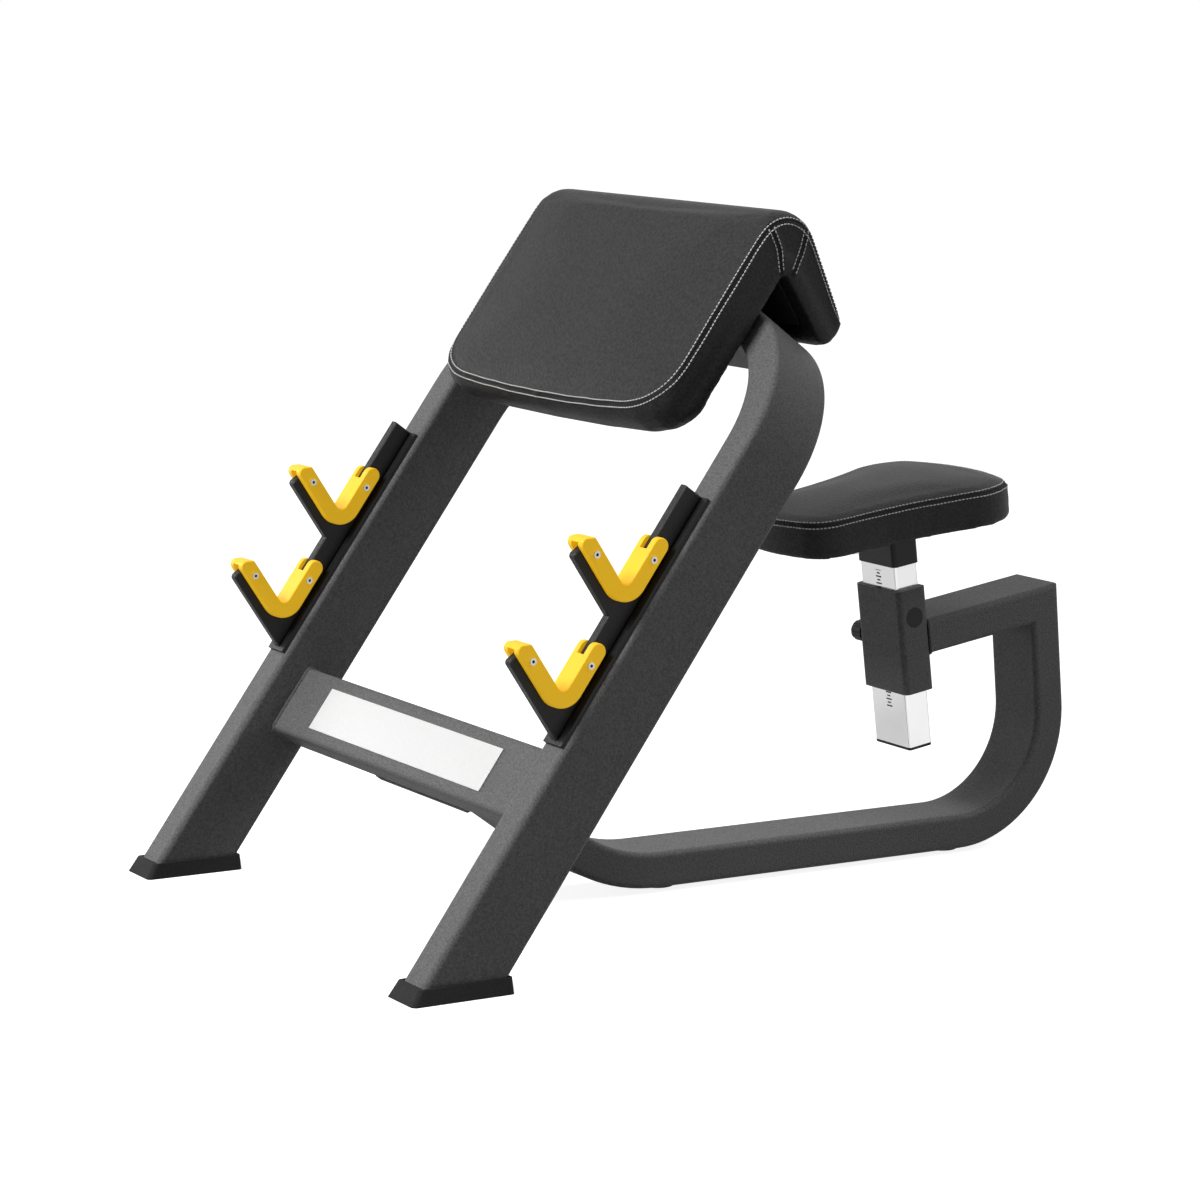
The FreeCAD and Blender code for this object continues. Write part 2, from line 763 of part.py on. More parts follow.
def make_seat_plate():
    """The steel plate under the seat and the bolts that hold the board to it."""
    plate = seat_body("seat_plate")
    outline = new_sketch(plate, "XY_Plane", "post_top")
    draw_rounded(outline, "seat_plate_wide", "seat_plate_long", "seat_bolt_inset", ("0", "seat_plate_place"))
    for place in seat_bolt_places():
        draw_circle(outline, place, "seat_bolt/2")
    pad(plate, outline, "seat_plate_thick")
    bolts = seat_body("seat_bolts")
    for radius, low, length in (
        ("seat_bolt_head/2", "post_top - seat_bolt_head_high", "seat_bolt_head_high"),
        ("seat_bolt/2", "post_top", "seat_plate_thick + board_thick"),
    ):
        rounds = new_sketch(bolts, "XY_Plane", low)
        for place in seat_bolt_places():
            draw_circle(rounds, place, radius)
        pad(bolts, rounds, length)


def make_clamp():
    """The seat lock on the sleeve's right: a threaded boss, a pressure pad, a screw and its knob."""
    centre = ("0", "clamp_height")
    boss = seat_body("clamp_boss")
    ring = new_sketch(boss, "YZ_Plane", "-tube_wide/2")
    draw_circle(ring, centre, "clamp_boss_radius")
    draw_circle(ring, centre, "clamp_screw/2 + clamp_clearance")
    pad(boss, ring, "clamp_boss_length", reverse=True)
    disc = seat_body("clamp_pad")
    face = new_sketch(disc, "YZ_Plane", "-post_wide/2 - clamp_touch")
    draw_circle(face, centre, "clamp_pad_radius")
    pad(disc, face, "clamp_pad_thick", reverse=True)
    socket = new_sketch(disc, "YZ_Plane", f"-{CLAMP_SOCKET}")
    draw_circle(socket, centre, "clamp_screw/2 + clamp_clearance")
    pocket(disc, socket, "clamp_pad_socket", "One side")
    screw = seat_body("clamp_screw")
    tip = new_sketch(screw, "YZ_Plane", f"-{CLAMP_SOCKET} - clamp_touch")
    draw_circle(tip, centre, "clamp_screw/2")
    pad(screw, tip, f"{KNOB_START} + clamp_knob_socket - {CLAMP_SOCKET} - clamp_touch", reverse=True)
    knob = seat_body("clamp_knob")
    grip = new_sketch(knob, "YZ_Plane", f"-{KNOB_START}")
    draw_circle(grip, centre, "clamp_knob_radius")
    pad(knob, grip, "clamp_knob_length", reverse=True)
    fillet(knob, "clamp_flute_radius", at_level("X", f"-{KNOB_START} - clamp_knob_length"))
    flutes = new_sketch(knob, "YZ_Plane", f"-{KNOB_START}")
    count = round(SIZES["clamp_knob_flutes"])
    for turn in range(count):
        angle = f"({turn}*360/clamp_knob_flutes)"
        spoke = "(clamp_knob_radius + clamp_flute_radius/2)"
        flute = (f"{spoke}*cos({angle})", f"clamp_height + {spoke}*sin({angle})")
        draw_circle(flutes, flute, "clamp_flute_radius")
    pocket(knob, flutes, "clamp_knob_length", "One side")
    hole = new_sketch(knob, "YZ_Plane", f"-{KNOB_START}")
    draw_circle(hole, centre, "clamp_screw/2")
    pocket(knob, hole, "clamp_knob_socket", "One side")


def cradle_rest(step):
    """Where the two arms of a cradle would meet, as along the upright and out from its front."""
    return (f"(hoop_straight - cradle_drop + {step}*cradle_pitch)", "rest_height")


def beneath(step, depth):
    """The corner of a cradle's arms at a depth below the resting faces."""
    along, out = cradle_rest(step)
    return (f"({along} - ({depth})/tan({CRADLE_OPEN}/2))", f"({out} - ({depth}))")


def up_front_arm(place, length, depth="0"):
    """A point further up a cradle's front arm, and deeper into it."""
    along, out = place
    return (
        f"({along} + ({length})*cos({CRADLE_OPEN}) - ({depth})*sin({CRADLE_OPEN}))",
        f"({out} + ({length})*sin({CRADLE_OPEN}) + ({depth})*cos({CRADLE_OPEN}))",
    )


def down_front_arm(place, out):
    """The point where the line of a front arm through a place comes down to a level."""
    return (f"({place[0]} - ({place[1]} - ({out}))/tan({CRADLE_OPEN}))", f"({out})")


def spot(place):
    """A point along the upright and out from its front, as a point of the YZ plane."""
    along, out = place
    return (f"-({out})", along)


def liner_screw_places(step):
    """The two screws of one cradle liner."""
    along, out = cradle_rest(step)
    return [
        spot((f"({along} + liner_screw_rear)", f"({out} - liner_band/2)")),
        spot(up_front_arm((along, out), "liner_screw_front", "liner_band/2")),
    ]


def all_liner_screws():
    """The screws of both cradles on one side."""
    return liner_screw_places(0) + liner_screw_places(1)


def make_cradle_plate(name, side):
    """The strip on the front of an upright and the plate with two V cradles that stands on it."""
    x = f"{side}*leg_spacing/2"
    base = leg_body(f"{name}_cradle_base")
    strip = new_sketch(base, "XZ_Plane")
    draw_rectangle(
        strip, f"{x} - cradle_base_wide/2", f"{x} + cradle_base_wide/2",
        f"{CRADLE_END} - cradle_base_length", CRADLE_END,
    )
    pad(base, strip, "cradle_base_thick")
    plate = leg_body(f"{name}_cradle_plate")
    corners = []
    tips = []
    for step, foot in ((0, "cradle_base_thick"), (1, "rest_height - liner_web")):
        corner = beneath(step, "liner_web")
        tip_in = up_front_arm(corner, "front_arm_length")
        tip_out = up_front_arm(corner, "front_arm_length", "plate_arm_wide")
        corners += [down_front_arm(tip_out, foot), tip_out, tip_in, corner]
        tips += [spot(tip_out), spot(tip_in)]
    corners += [(CRADLE_END, "rest_height - liner_web"), (CRADLE_END, "cradle_base_thick")]
    outline = new_sketch(plate, "YZ_Plane", f"{x} - plate_thick/2")
    draw_polygon(outline, [spot(corner) for corner in corners])
    pad(plate, outline, "plate_thick")
    for tip in tips:
        fillet(plate, "plate_edge", through(tip))
    for face in ("-", "+"):
        fillet(plate, "plate_round", at_level("X", f"{x} {face} plate_thick/2"))
    holes = new_sketch(plate, "YZ_Plane", x)
    for place in all_liner_screws():
        draw_circle(holes, place, "liner_screw/2")
    pocket(plate, holes, "2*plate_thick")


def make_cradle_liner(label, side, step):
    """One yellow liner: a U-shaped channel bent round the V, with a slot for the plate."""
    body = leg_body(label)
    x = f"{side}*leg_spacing/2"
    along, out = rest = cradle_rest(step)
    inner = "liner_inner_radius"
    outer = "liner_outer_radius"
    inner_centre = beneath(step, f"-{inner}")
    outer_centre = beneath(step, f"liner_band - {outer}")
    low = f"({out} - liner_band)"
    middle = f"({out} - liner_band/2)"
    rounding = f"({along} + rear_arm_length - liner_band/2)"
    tip = f"(front_arm_length + liner_web - liner_web/tan({CRADLE_OPEN}/2))"
    round_end = (spot((rounding, middle)), "liner_band/2")
    tip_in = spot(up_front_arm(rest, tip))
    tip_out = spot(up_front_arm(rest, f"{tip} + liner_tip_reach", "liner_band"))
    outline = new_sketch(body, "YZ_Plane", f"{x} - {LINER_WIDE}/2")
    draw_chain(outline, spot((rounding, out)), [
        (spot((inner_centre[0], out)),),
        (spot(up_front_arm(inner_centre, "0", inner)), spot(inner_centre), inner),
        (tip_in,),
        (tip_out,),
        (spot(up_front_arm(outer_centre, "0", outer)),),
        (spot((outer_centre[0], low)), spot(outer_centre), outer),
        (spot((rounding, low)),),
        (spot((f"({along} + rear_arm_length)", middle)), *round_end),
        (spot((rounding, out)), *round_end),
    ])
    pad(body, outline, LINER_WIDE)
    fillet(body, "liner_edge", through(tip_in))
    fillet(body, "liner_tip_round", through(tip_out))
    for face in ("-", "+"):
        fillet(body, "liner_round", at_level("X", f"{x} {face} {LINER_WIDE}/2"))
    deep = "2*liner_band"
    corner = beneath(step, "liner_web")
    slot = new_sketch(body, "YZ_Plane", x)
    draw_polygon(slot, [spot(place) for place in (
        corner,
        (f"({along} + rear_web_length)", f"({out} - liner_web)"),
        (f"({along} + rear_web_length)", f"({out} + liner_web)"),
        (f"({along} + rear_arm_length + liner_web)", f"({out} + liner_web)"),
        (f"({along} + rear_arm_length + liner_web)", f"({out} - {deep})"),
        beneath(step, deep),
        up_front_arm(corner, f"front_arm_length + liner_tip_reach*{deep}/liner_band", deep),
        up_front_arm(corner, "front_arm_length"),
    )])
    pocket(body, slot, "plate_thick")
    holes = new_sketch(body, "YZ_Plane", x)
    for place in liner_screw_places(step):
        draw_circle(holes, place, "liner_screw/2")
    pocket(body, holes, f"2*{LINER_WIDE}")


def make_cradle_fasteners():
    """The screws that run through the liners and plates, and the nuts on their ends."""
    screws = leg_body("cradle_screws")
    for side in SIDES.values():
        face = f"{side}*leg_spacing/2 + {LINER_WIDE}/2"
        heads = new_sketch(screws, "YZ_Plane", face)
        for place in all_liner_screws():
            draw_circle(heads, place, "liner_screw_head/2")
        pad(screws, heads, "liner_screw_head_high")
        shanks = new_sketch(screws, "YZ_Plane", face)
        for place in all_liner_screws():
            draw_circle(shanks, place, "liner_screw/2")
        pad(screws, shanks, f"{LINER_WIDE} + liner_nut_high", reverse=True)
        sockets = new_sketch(screws, "YZ_Plane", f"{face} + liner_screw_head_high")
        for place in all_liner_screws():
            draw_hexagon(sockets, place, "liner_socket/2")
        pocket(screws, sockets, "liner_socket_deep", "One side")
    nuts = leg_body("cradle_nuts")
    for side in SIDES.values():
        section = new_sketch(nuts, "YZ_Plane", f"{side}*leg_spacing/2 - {LINER_WIDE}/2")
        for place in all_liner_screws():
            draw_hexagon(section, place, "liner_screw_head/2")
            draw_circle(section, place, "liner_screw/2")
        pad(nuts, section, "liner_nut_high", reverse=True)


def pad_bolt_levels():
    """How high up the uprights the two bolts of a strap are."""
    return (f"({STRAP_LOW} + pad_bolt_edge)", f"({STRAP_LOW} + pad_bolt_edge + pad_bolt_pitch)")


def pad_bolt_holes(sketch, sides, radius):
    """Circles for the bolts of the chosen straps."""
    for side in sides:
        for level in pad_bolt_levels():
            draw_circle(sketch, (f"{side}*strap_place", level), radius)


def make_pad_straps():
    """The two flat bars on the front of the hoop's top tube, and the bolts of the arm pad."""
    for name, side in SIDES.items():
        strap = leg_body(f"{name}_pad_strap")
        outline = new_sketch(strap, "XZ_Plane")
        draw_rectangle(
            outline, f"{side}*strap_place - strap_wide/2", f"{side}*strap_place + strap_wide/2",
            STRAP_LOW, HOOP_CREST,
        )
        pad_bolt_holes(outline, (side,), "pad_bolt/2")
        pad(strap, outline, "strap_thick")
    bolts = leg_body("pad_bolts")
    heads = new_sketch(bolts, "XZ_Plane")
    pad_bolt_holes(heads, SIDES.values(), "pad_bolt_head/2")
    pad(bolts, heads, "pad_bolt_head_high", reverse=True)
    shanks = new_sketch(bolts, "XZ_Plane")
    pad_bolt_holes(shanks, SIDES.values(), "pad_bolt/2")
    pad(bolts, shanks, "strap_thick + board_thick")


def down_slab(place, length, out="0"):
    """A point further down the rear slab of the arm pad and out from its inner face."""
    return (
        f"({place[0]} + ({length})*cos(rear_slope) + ({out})*sin(rear_slope))",
        f"({place[1]} - ({length})*sin(rear_slope) + ({out})*cos(rear_slope))",
    )


def front_board_outline():
    """The front board of the arm pad, mitred at the peak."""
    return [
        ("-strap_thick", f"{PAD_UNDER_LOW} + pad_board_inset"),
        PAD_PEAK,
        BOARD_PEAK,
        ("-strap_thick - board_thick", f"{PAD_UNDER_LOW} + pad_board_inset"),
    ]


def rear_board_outline():
    """The rear board of the arm pad, mitred at the peak."""
    length = "rear_slab_length - pad_board_inset"
    return [PAD_PEAK, down_slab(PAD_PEAK, length), down_slab(PAD_PEAK, length, "board_thick"), BOARD_PEAK]


def make_pad_boards():
    """The two plywood boards inside the arm pad."""
    front = leg_body("front_pad_board")
    outline = new_sketch(front, "YZ_Plane")
    draw_polygon(outline, front_board_outline())
    pad(front, outline, "pad_width - 2*pad_board_inset", "Symmetric")
    holes = new_sketch(front, "XZ_Plane")
    pad_bolt_holes(holes, SIDES.values(), "pad_bolt/2")
    pocket(front, holes, "strap_thick + board_thick", "One side", reverse=True)
    rear = leg_body("rear_pad_board")
    outline = new_sketch(rear, "YZ_Plane")
    draw_polygon(outline, rear_board_outline())
    pad(rear, outline, "pad_width - 2*pad_board_inset", "Symmetric")


def pad_section(body, across, crown, draw, lift):
    """One section of the arm pad: how far across, and its shares of the crown, the draw and the corner."""
    drawn = f"{draw}*pad_draw"
    face = f"(-strap_thick - pad_thick + {drawn})"
    low = f"({PAD_LOW} - pad_low_bow*(1 - {across}^2) + {drawn} + {lift}*pad_corner)"
    slab_in = down_slab(PAD_PEAK, f"rear_slab_length - {drawn}")
    slab_out = down_slab(slab_in, "0", f"rear_end_thick - {drawn}")
    reach = f"({slab_out[0]} - {face} - ridge_radius)"
    ridge = (
        f"({face} + ridge_radius)",
        f"({slab_out[1]} + ({reach}*sin(rear_outer_slope) - ridge_radius)/cos(rear_outer_slope))",
    )
    over = (
        f"({ridge[0]} + ridge_radius*sin(rear_outer_slope))",
        f"({ridge[1]} + ridge_radius*cos(rear_outer_slope))",
    )
    under = ("-strap_thick", f"({PAD_UNDER_LOW} + {lift}*pad_under_corner)")
    section = new_sketch(body, "YZ_Plane", f"{across}*pad_width/2")
    draw_chain(section, under, [
        (PAD_PEAK,),
        (slab_in,),
        (slab_out, "rear_end_bulge"),
        (over,),
        ((face, ridge[1]), ridge, "ridge_radius"),
        ((face, low), f"{crown}*pad_crown"),
        (under, "pad_under_bulge"),
    ])
    return section


def make_arm_pad():
    """Foam and cover of the arm pad, crowned in front and drawn in at its ends, with room for the boards."""
    body = leg_body("arm_pad")
    halves = [
        (1, 0.1, 1, 0.75),
        (0.98, 0.15, 0.3, 0.52),
        (0.92, 0.3, 0, 0.2),
        (0.8, 0.55, 0, 0),
        (0.45, 0.9, 0, 0),
    ]
    middle = [(0, 1, 0, 0)]
    mirrored = [(-across, *shares) for across, *shares in reversed(halves)]
    sections = [pad_section(body, *shares) for shares in halves + middle + mirrored]
    loft(body, "Additive", *sections)
    for outline in (front_board_outline(), rear_board_outline()):
        room = new_sketch(body, "YZ_Plane")
        draw_polygon(room, outline)
        pocket(body, room, "pad_width - 2*pad_board_inset")


def draw_seat_outline(sketch, inset):
    """The seat seen from above, drawn in all round by an inset."""
    across = f"(1 - ({inset})/seat_hip_half)"
    along = f"(1 - ({inset})/((seat_front + seat_rear)/2))"
    middle = "(seat_rear - seat_front)/2"

    def corner(half, place):
        return (f"({half})*{across}", f"({middle} + (({place}) - {middle})*{along})")

    def bow(amount):
        return f"{amount}*{across}"

    draw_chain(sketch, corner("-seat_front_half", "-seat_front"), [
        (corner("seat_front_half", "-seat_front"), bow("seat_front_bow")),
        (corner("seat_shoulder_half", "-seat_shoulder"), bow("seat_shoulder_bow")),
        (corner("seat_hip_half", "seat_hip"), bow("-seat_waist_dip")),
        (corner("seat_rear_half", "seat_rear"), bow("seat_corner_bow")),
        (corner("-seat_rear_half", "seat_rear"), bow("seat_rear_bow")),
        (corner("-seat_hip_half", "seat_hip"), bow("seat_corner_bow")),
        (corner("-seat_shoulder_half", "-seat_shoulder"), bow("-seat_waist_dip")),
        (corner("-seat_front_half", "-seat_front"), bow("seat_shoulder_bow")),
    ])


def make_seat():
    """The plywood board of the seat and the cushion over it."""
    board = seat_body("seat_board")
    outline = new_sketch(board, "XY_Plane", SEAT_UNDER)
    draw_seat_outline(outline, "seat_board_inset")
    for place in seat_bolt_places():
        draw_circle(outline, place, "seat_bolt/2")
    pad(board, outline, "board_thick")
    cushion = seat_body("seat_cushion")
    levels = [
        ("0", "1.6*seat_draw"),
        ("seat_thick/7", "0.4*seat_draw"),
        ("seat_thick/2", "0"),
        ("0.85*seat_thick", "0.3*seat_draw"),
        ("seat_thick", "1.7*seat_draw"),
        ("seat_thick + seat_crown*0.6", "1.3*seat_board_inset"),
        ("seat_thick + seat_crown", "4*seat_board_inset"),
    ]
    sections = []
    for level, inset in levels:
        section = new_sketch(cushion, "XY_Plane", f"{SEAT_UNDER} + {level}")
        draw_seat_outline(section, inset)
        sections.append(section)
    loft(cushion, "Additive", *sections)
    room = new_sketch(cushion, "XY_Plane", SEAT_UNDER)
    draw_seat_outline(room, "seat_board_inset")
    pocket(cushion, room, "board_thick", "One side", reverse=True)


make_uprights()
for name, side in SIDES.items():
    make_foot_cap(f"{name}_foot_cap", side)
    make_cradle_plate(name, side)
    make_cradle_liner(f"{name}_lower_cradle_liner", side, 0)
    make_cradle_liner(f"{name}_upper_cradle_liner", side, 1)
make_cradle_fasteners()
make_cross_tube()
make_flange()
make_base_beam()
make_beam_feet()
make_seat_arm()
make_seat_sleeve()
make_sleeve_liner()
make_pad_straps()
make_pad_boards()
make_arm_pad()
make_seat_post()
make_seat_plate()
make_seat()
make_clamp()
document.recompute()

for thing in document.Objects:
    if "Invalid" in thing.State or "Error" in thing.State:
        raise ValueError(f"{thing.Label} did not recompute")
os.makedirs("parts", exist_ok=True)
for piece in PIECES:
    if piece.Shape.isNull() or not piece.Shape.isValid():
        raise ValueError(f"{piece.Label} has no valid shape")
    piece.Shape.exportStep(f"parts/{piece.Label}.step")
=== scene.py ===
"""Dresses the preacher curl bench: swollen, stitched cushions, finishes and a plain studio."""
import json
from math import cos, pi, radians, sin

import bpy
from bpy.props import FloatProperty, FloatVectorProperty, PointerProperty
from mathutils import Matrix, Vector
from mathutils.kdtree import KDTree


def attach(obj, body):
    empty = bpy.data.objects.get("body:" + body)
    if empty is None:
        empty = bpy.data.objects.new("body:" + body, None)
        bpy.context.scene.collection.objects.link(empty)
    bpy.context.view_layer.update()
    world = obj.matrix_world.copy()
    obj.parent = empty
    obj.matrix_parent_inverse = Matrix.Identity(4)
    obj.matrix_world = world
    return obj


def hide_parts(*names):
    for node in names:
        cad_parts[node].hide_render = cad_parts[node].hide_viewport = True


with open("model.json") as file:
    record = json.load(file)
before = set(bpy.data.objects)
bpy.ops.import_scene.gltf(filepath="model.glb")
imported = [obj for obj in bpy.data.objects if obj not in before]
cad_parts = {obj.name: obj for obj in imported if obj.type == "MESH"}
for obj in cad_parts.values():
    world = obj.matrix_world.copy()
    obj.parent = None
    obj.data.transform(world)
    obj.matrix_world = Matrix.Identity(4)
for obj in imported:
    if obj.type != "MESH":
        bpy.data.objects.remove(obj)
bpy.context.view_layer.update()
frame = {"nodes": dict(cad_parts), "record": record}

bl_info = {
    "name": "Preacher curl bench",
    "version": (1, 0, 0),
    "blender": (4, 5, 0),
    "location": "3D View > Sidebar > Bench",
    "description": "Cushions, stitching, finishes and studio of a preacher curl bench",
    "category": "Object",
}

PAINT = {entry["slot"]: entry["base_color"] for entry in frame["record"]["materials"]}
NODE_SLOTS = {entry["node"]: entry["material_slot"] for entry in frame["record"]["subparts"]}

# The uprights lean, and the seat's post is tilted: x across, y back from them, z along them
LEGS = Matrix.Translation((0, -0.625, 0.020)) @ Matrix.Rotation(radians(-35), 4, "X")
SEAT = Matrix.Translation((0, 0.364, 0.317)) @ Matrix.Rotation(radians(9), 4, "X")

# Share of the arm pad's half width, the lift of its lower edge there and the draw of its skin
PAD_END_SHAPE = ((0, 0, 0), (0.8, 0, 0), (0.92, 0.012, 0), (0.98, 0.031, 0.002), (1, 0.045, 0.006))
PAD_EDGE_STEPS = 40

# The arm pad's boards, back from the uprights and up along them: where they meet and where they end
BOARD_CORNER = (-0.008, 1.014)
BOARD_ENDS = ((-0.008, 0.750), (0.090, 0.974))
# They hold the skin up to the first gap from them, and leave it free from the second one on
BOARD_GRIP = (0.017, 0.028)
# The seat's board does the same between two heights up the post
SEAT_GRIP = (0.163, 0.176)

# The arm pad's rear slab: its slopes inside and outside, its length and thickness, and the ridge
SLAB_SLOPE, SLAB_OUTSIDE = radians(22), radians(30)
SLAB_LENGTH, SLAB_THICK, RIDGE_RADIUS = 0.113, 0.048, 0.045
RIDGE_ANGLES = range(180, 60, -8)

# The slanted seams on the pad's ends, back from the uprights and up along them
PAD_SLANTS = (
    ((-0.067, 1.050), (-0.034, 1.033), (-0.012, 1.008)),
    ((-0.016, 1.083), (-0.003, 1.050), (0.002, 1.017)),
)

# Seams: the step along them, how near to them the skin is held, and the reach of their smoothing
SEAM_STEP, SEAM_GRIP, SEAM_MEAN = 0.002, 0.009, 10
# Stitches: the step along a row, and how many points the smoothing of each line reaches
ROW_STEP, LINE_MEAN, WAY_MEAN, LIFT_MEAN = 0.003, 2, 4, 2
RING_ROW_MEAN, SLANT_ROW_MEAN = 6, 2
SLANT_ROW_START = 3
# How far back the middle of the seat's seam is, and how many points are found all round it
RING_BACK, RING_STEPS = -0.03, 180

SWELL_FRAMES = 20
DOUBLES_GAP = 0.00002
WELD_RIPPLES = 0.004

# The scale on the post: ticks in a metre, their thickness as a share of that, and the start and
# half length of the long and the short ones
TICKS, TICK_SHARE, TICK_ROWS = 100.0, 0.22, ((0.0, 0.0062), (0.5, 0.0036))
# Its middle across the post, the post's front, and half of the scale's own length
SCALE_MIDDLE, SCALE_FRONT, SCALE_HALF = 0.001, -0.0195, 0.101
# The liners' screws: the middle of an upright, and how far out from there their heads begin
UPRIGHT_MIDDLE, SCREW_HEAD = 0.355, 0.0174

# Painted and moulded finishes by slot: name, dark and light tone, grains in a metre, their depth,
# smooth and rough gloss, and specular level
GRAINED = {
    "frame_paint": ("grainy_powder_coat", (0.62, 1.34), 380.0, 0.00026, (0.52, 0.64), 0.15),
    "bracket_paint": ("black_bracket_paint", (0.5, 0.9), 780.0, 0.00015, (0.34, 0.46), 0.22),
    "liner_yellow": ("yellow_liner_plastic", (0.94, 1.04), 900.0, 0.00008, (0.36, 0.48), 0.4),
    "foot_rubber": ("foot_rubber", (0.75, 1.3), 480.0, 0.0003, (0.74, 0.88), 0.25),
    "black_plastic": ("moulded_black_plastic", (0.5, 0.9), 1100.0, 0.0001, (0.42, 0.55), 0.2),
    "plate_white": ("bare_white_plate", (0.96, 1.02), 300.0, 0.00005, (0.30, 0.40), 0.5),
}
# Painted light: the liners' plastic glows yellow at this strength, so their shaded sides stay
# bright though they are no lamp
LINER_PAINTED_LIGHT = 0.4
SCALE_INK = (0.004, 0.004, 0.004, 1.0)
# Painted shade inside the liners' screw sockets
SOCKET_PAINTED_SHADE = (0.008, 0.008, 0.009, 1.0)

# Lamps: where they stand, their size and the setting that holds their power
LAMPS = {
    "front_light": ((-0.3, -3.7, 3.7), 1.4, "key_power"),
    "top_light": ((0.6, 0.6, 4.2), 2.2, "top_power"),
    "back_light": ((2.2, 2.4, 3.2), 1.5, "back_power"),
    "low_light": ((-4.4, -1.5, 1.0), 1.5, "low_power"),
}
LAMP_AIM = (0, 0, 0.45)

# Floor: its size, its tones to the light and to the eye, and how far out its glow grows to white
FLOOR_SIZE = 60.0
FLOOR_LIT, FLOOR_SEEN = (0.3, 0.3, 0.3, 1.0), (0.8, 0.8, 0.8, 1.0)
GLOW_FROM, GLOW_TO = 1.5, 5.0
# Shares of that glow which mirrors see, from the front left to the back right
MIRROR_LEAST, MIRROR_MOST = 0.2, 0.65
SENSOR_WIDTH = 36.0

# Where one tube is welded to another: the place, with the tube's section in its x-y plane
ON_SIDE, ON_BACK = Matrix.Rotation(pi / 2, 4, "Y"), Matrix.Rotation(pi / 2, 4, "X")
WELDS = {
    "left_cross_weld": LEGS @ Matrix.Translation((0.330, 0.067, 0.289)) @ ON_SIDE,
    "right_cross_weld": LEGS @ Matrix.Translation((-0.330, 0.067, 0.289)) @ ON_SIDE,
    "beam_weld": LEGS @ Matrix.Translation((0, 0.100, 0.289)) @ ON_BACK,
    "seat_arm_weld": SEAT @ Matrix.Translation((0, 0.025, 0)) @ ON_BACK,
}


class BenchCushions(bpy.types.PropertyGroup):
    """Sizes of the cushions, their seams and their stitches."""

    mesh_size: FloatProperty(
        name="Mesh size", description="Size of the skin's faces while it swells",
        default=0.005, unit="LENGTH",
    )
    pressure: FloatProperty(
        name="Pressure", description="Push of the filling on the skin", default=4.0
    )
    slack: FloatProperty(
        name="Slack", description="How much smaller the skin starts", default=0.0035, unit="LENGTH"
    )
    rise: FloatProperty(
        name="Rise", description="Furthest that the filling lifts the skin",
        default=0.006, unit="LENGTH",
    )
    groove: FloatProperty(
        name="Groove", description="Depth of the seams' grooves", default=0.0022, unit="LENGTH"
    )
    groove_wide: FloatProperty(
        name="Groove width", description="Half width of the seams' grooves",
        default=0.0045, unit="LENGTH",
    )
    row_gap: FloatProperty(
        name="Row gap", description="From a seam to the stitches beside it",
        default=0.0040, unit="LENGTH",
    )
    stitch_pitch: FloatProperty(
        name="Stitch pitch", description="From one stitch to the next",
        default=0.0054, unit="LENGTH",
    )
    stitch_length: FloatProperty(
        name="Stitch length", description="Length of one stitch", default=0.0043, unit="LENGTH"
    )
    thread: FloatProperty(
        name="Thread", description="Thickness of the thread", default=0.0017, unit="LENGTH"
    )
    pad_half: FloatProperty(
        name="Pad half width", description="Half the arm pad's width", default=0.272, unit="LENGTH"
    )
    pad_face: FloatProperty(
        name="Pad face", description="Front face of the arm pad, before the uprights",
        default=0.072, unit="LENGTH",
    )
    pad_low: FloatProperty(
        name="Pad low edge", description="Low edge of the pad's face at its ends",
        default=0.772, unit="LENGTH",
    )
    pad_bow: FloatProperty(
        name="Pad bow", description="How far that edge hangs lower in the middle",
        default=0.016, unit="LENGTH",
    )
    seam_level: FloatProperty(
        name="Seat seam", description="Height of the seat's seam up its post",
        default=0.211, unit="LENGTH",
    )


class BenchWelds(bpy.types.PropertyGroup):
    """Sizes of the weld beads."""

    tube: FloatVectorProperty(
        name="Tube", description="Width and height of the welded tubes", size=2,
        default=(0.100, 0.050), unit="LENGTH",
    )
    corner: FloatProperty(
        name="Corner", description="Radius of the tubes' corners", default=0.008, unit="LENGTH"
    )
    bead: FloatProperty(name="Bead", description="Radius of a bead", default=0.0026, unit="LENGTH")
    ripple: FloatProperty(
        name="Ripple", description="Height of a bead's ripples", default=0.0012, unit="LENGTH"
    )


class BenchFinishes(bpy.types.PropertyGroup):
    """Colours of the bench's finishes."""

    frame_paint: FloatVectorProperty(
        name="Frame", description="Powder coat of the frame",
        default=PAINT["frame_paint"], subtype="COLOR",
    )
    bracket_paint: FloatVectorProperty(
        name="Brackets", description="Black paint of the cradles",
        default=PAINT["bracket_paint"], subtype="COLOR",
    )
    liner_yellow: FloatVectorProperty(
        name="Liners", description="Plastic of the cradles' liners",
        default=PAINT["liner_yellow"], subtype="COLOR",
    )
    foot_rubber: FloatVectorProperty(
        name="Feet", description="Rubber of the feet",
        default=(0.022, 0.022, 0.022), subtype="COLOR",
    )
    black_plastic: FloatVectorProperty(
        name="Plastic", description="Black moulded plastic",
        default=(0.014, 0.014, 0.014), subtype="COLOR",
    )
    cushion_cover: FloatVectorProperty(
        name="Covers", description="Leatherette of the cushions",
        default=PAINT["cushion_cover"], subtype="COLOR",
    )
    plywood: FloatVectorProperty(
        name="Boards", description="Face of the plywood boards",
        default=PAINT["plywood"], subtype="COLOR",
    )
    chrome: FloatVectorProperty(
        name="Post", description="Chrome of the seat's post",
        default=PAINT["chrome"], subtype="COLOR",
    )
    zinc_steel: FloatVectorProperty(
        name="Bolts", description="Zinc plate of bolts and screws",
        default=PAINT["zinc_steel"], subtype="COLOR",
    )
    plate_white: FloatVectorProperty(
        name="Plate", description="Bare plate on the cross tube",
        default=PAINT["plate_white"], subtype="COLOR",
    )
    thread: FloatVectorProperty(
        name="Thread", description="Thread of the stitches",
        default=(0.85, 0.85, 0.83), subtype="COLOR",
    )


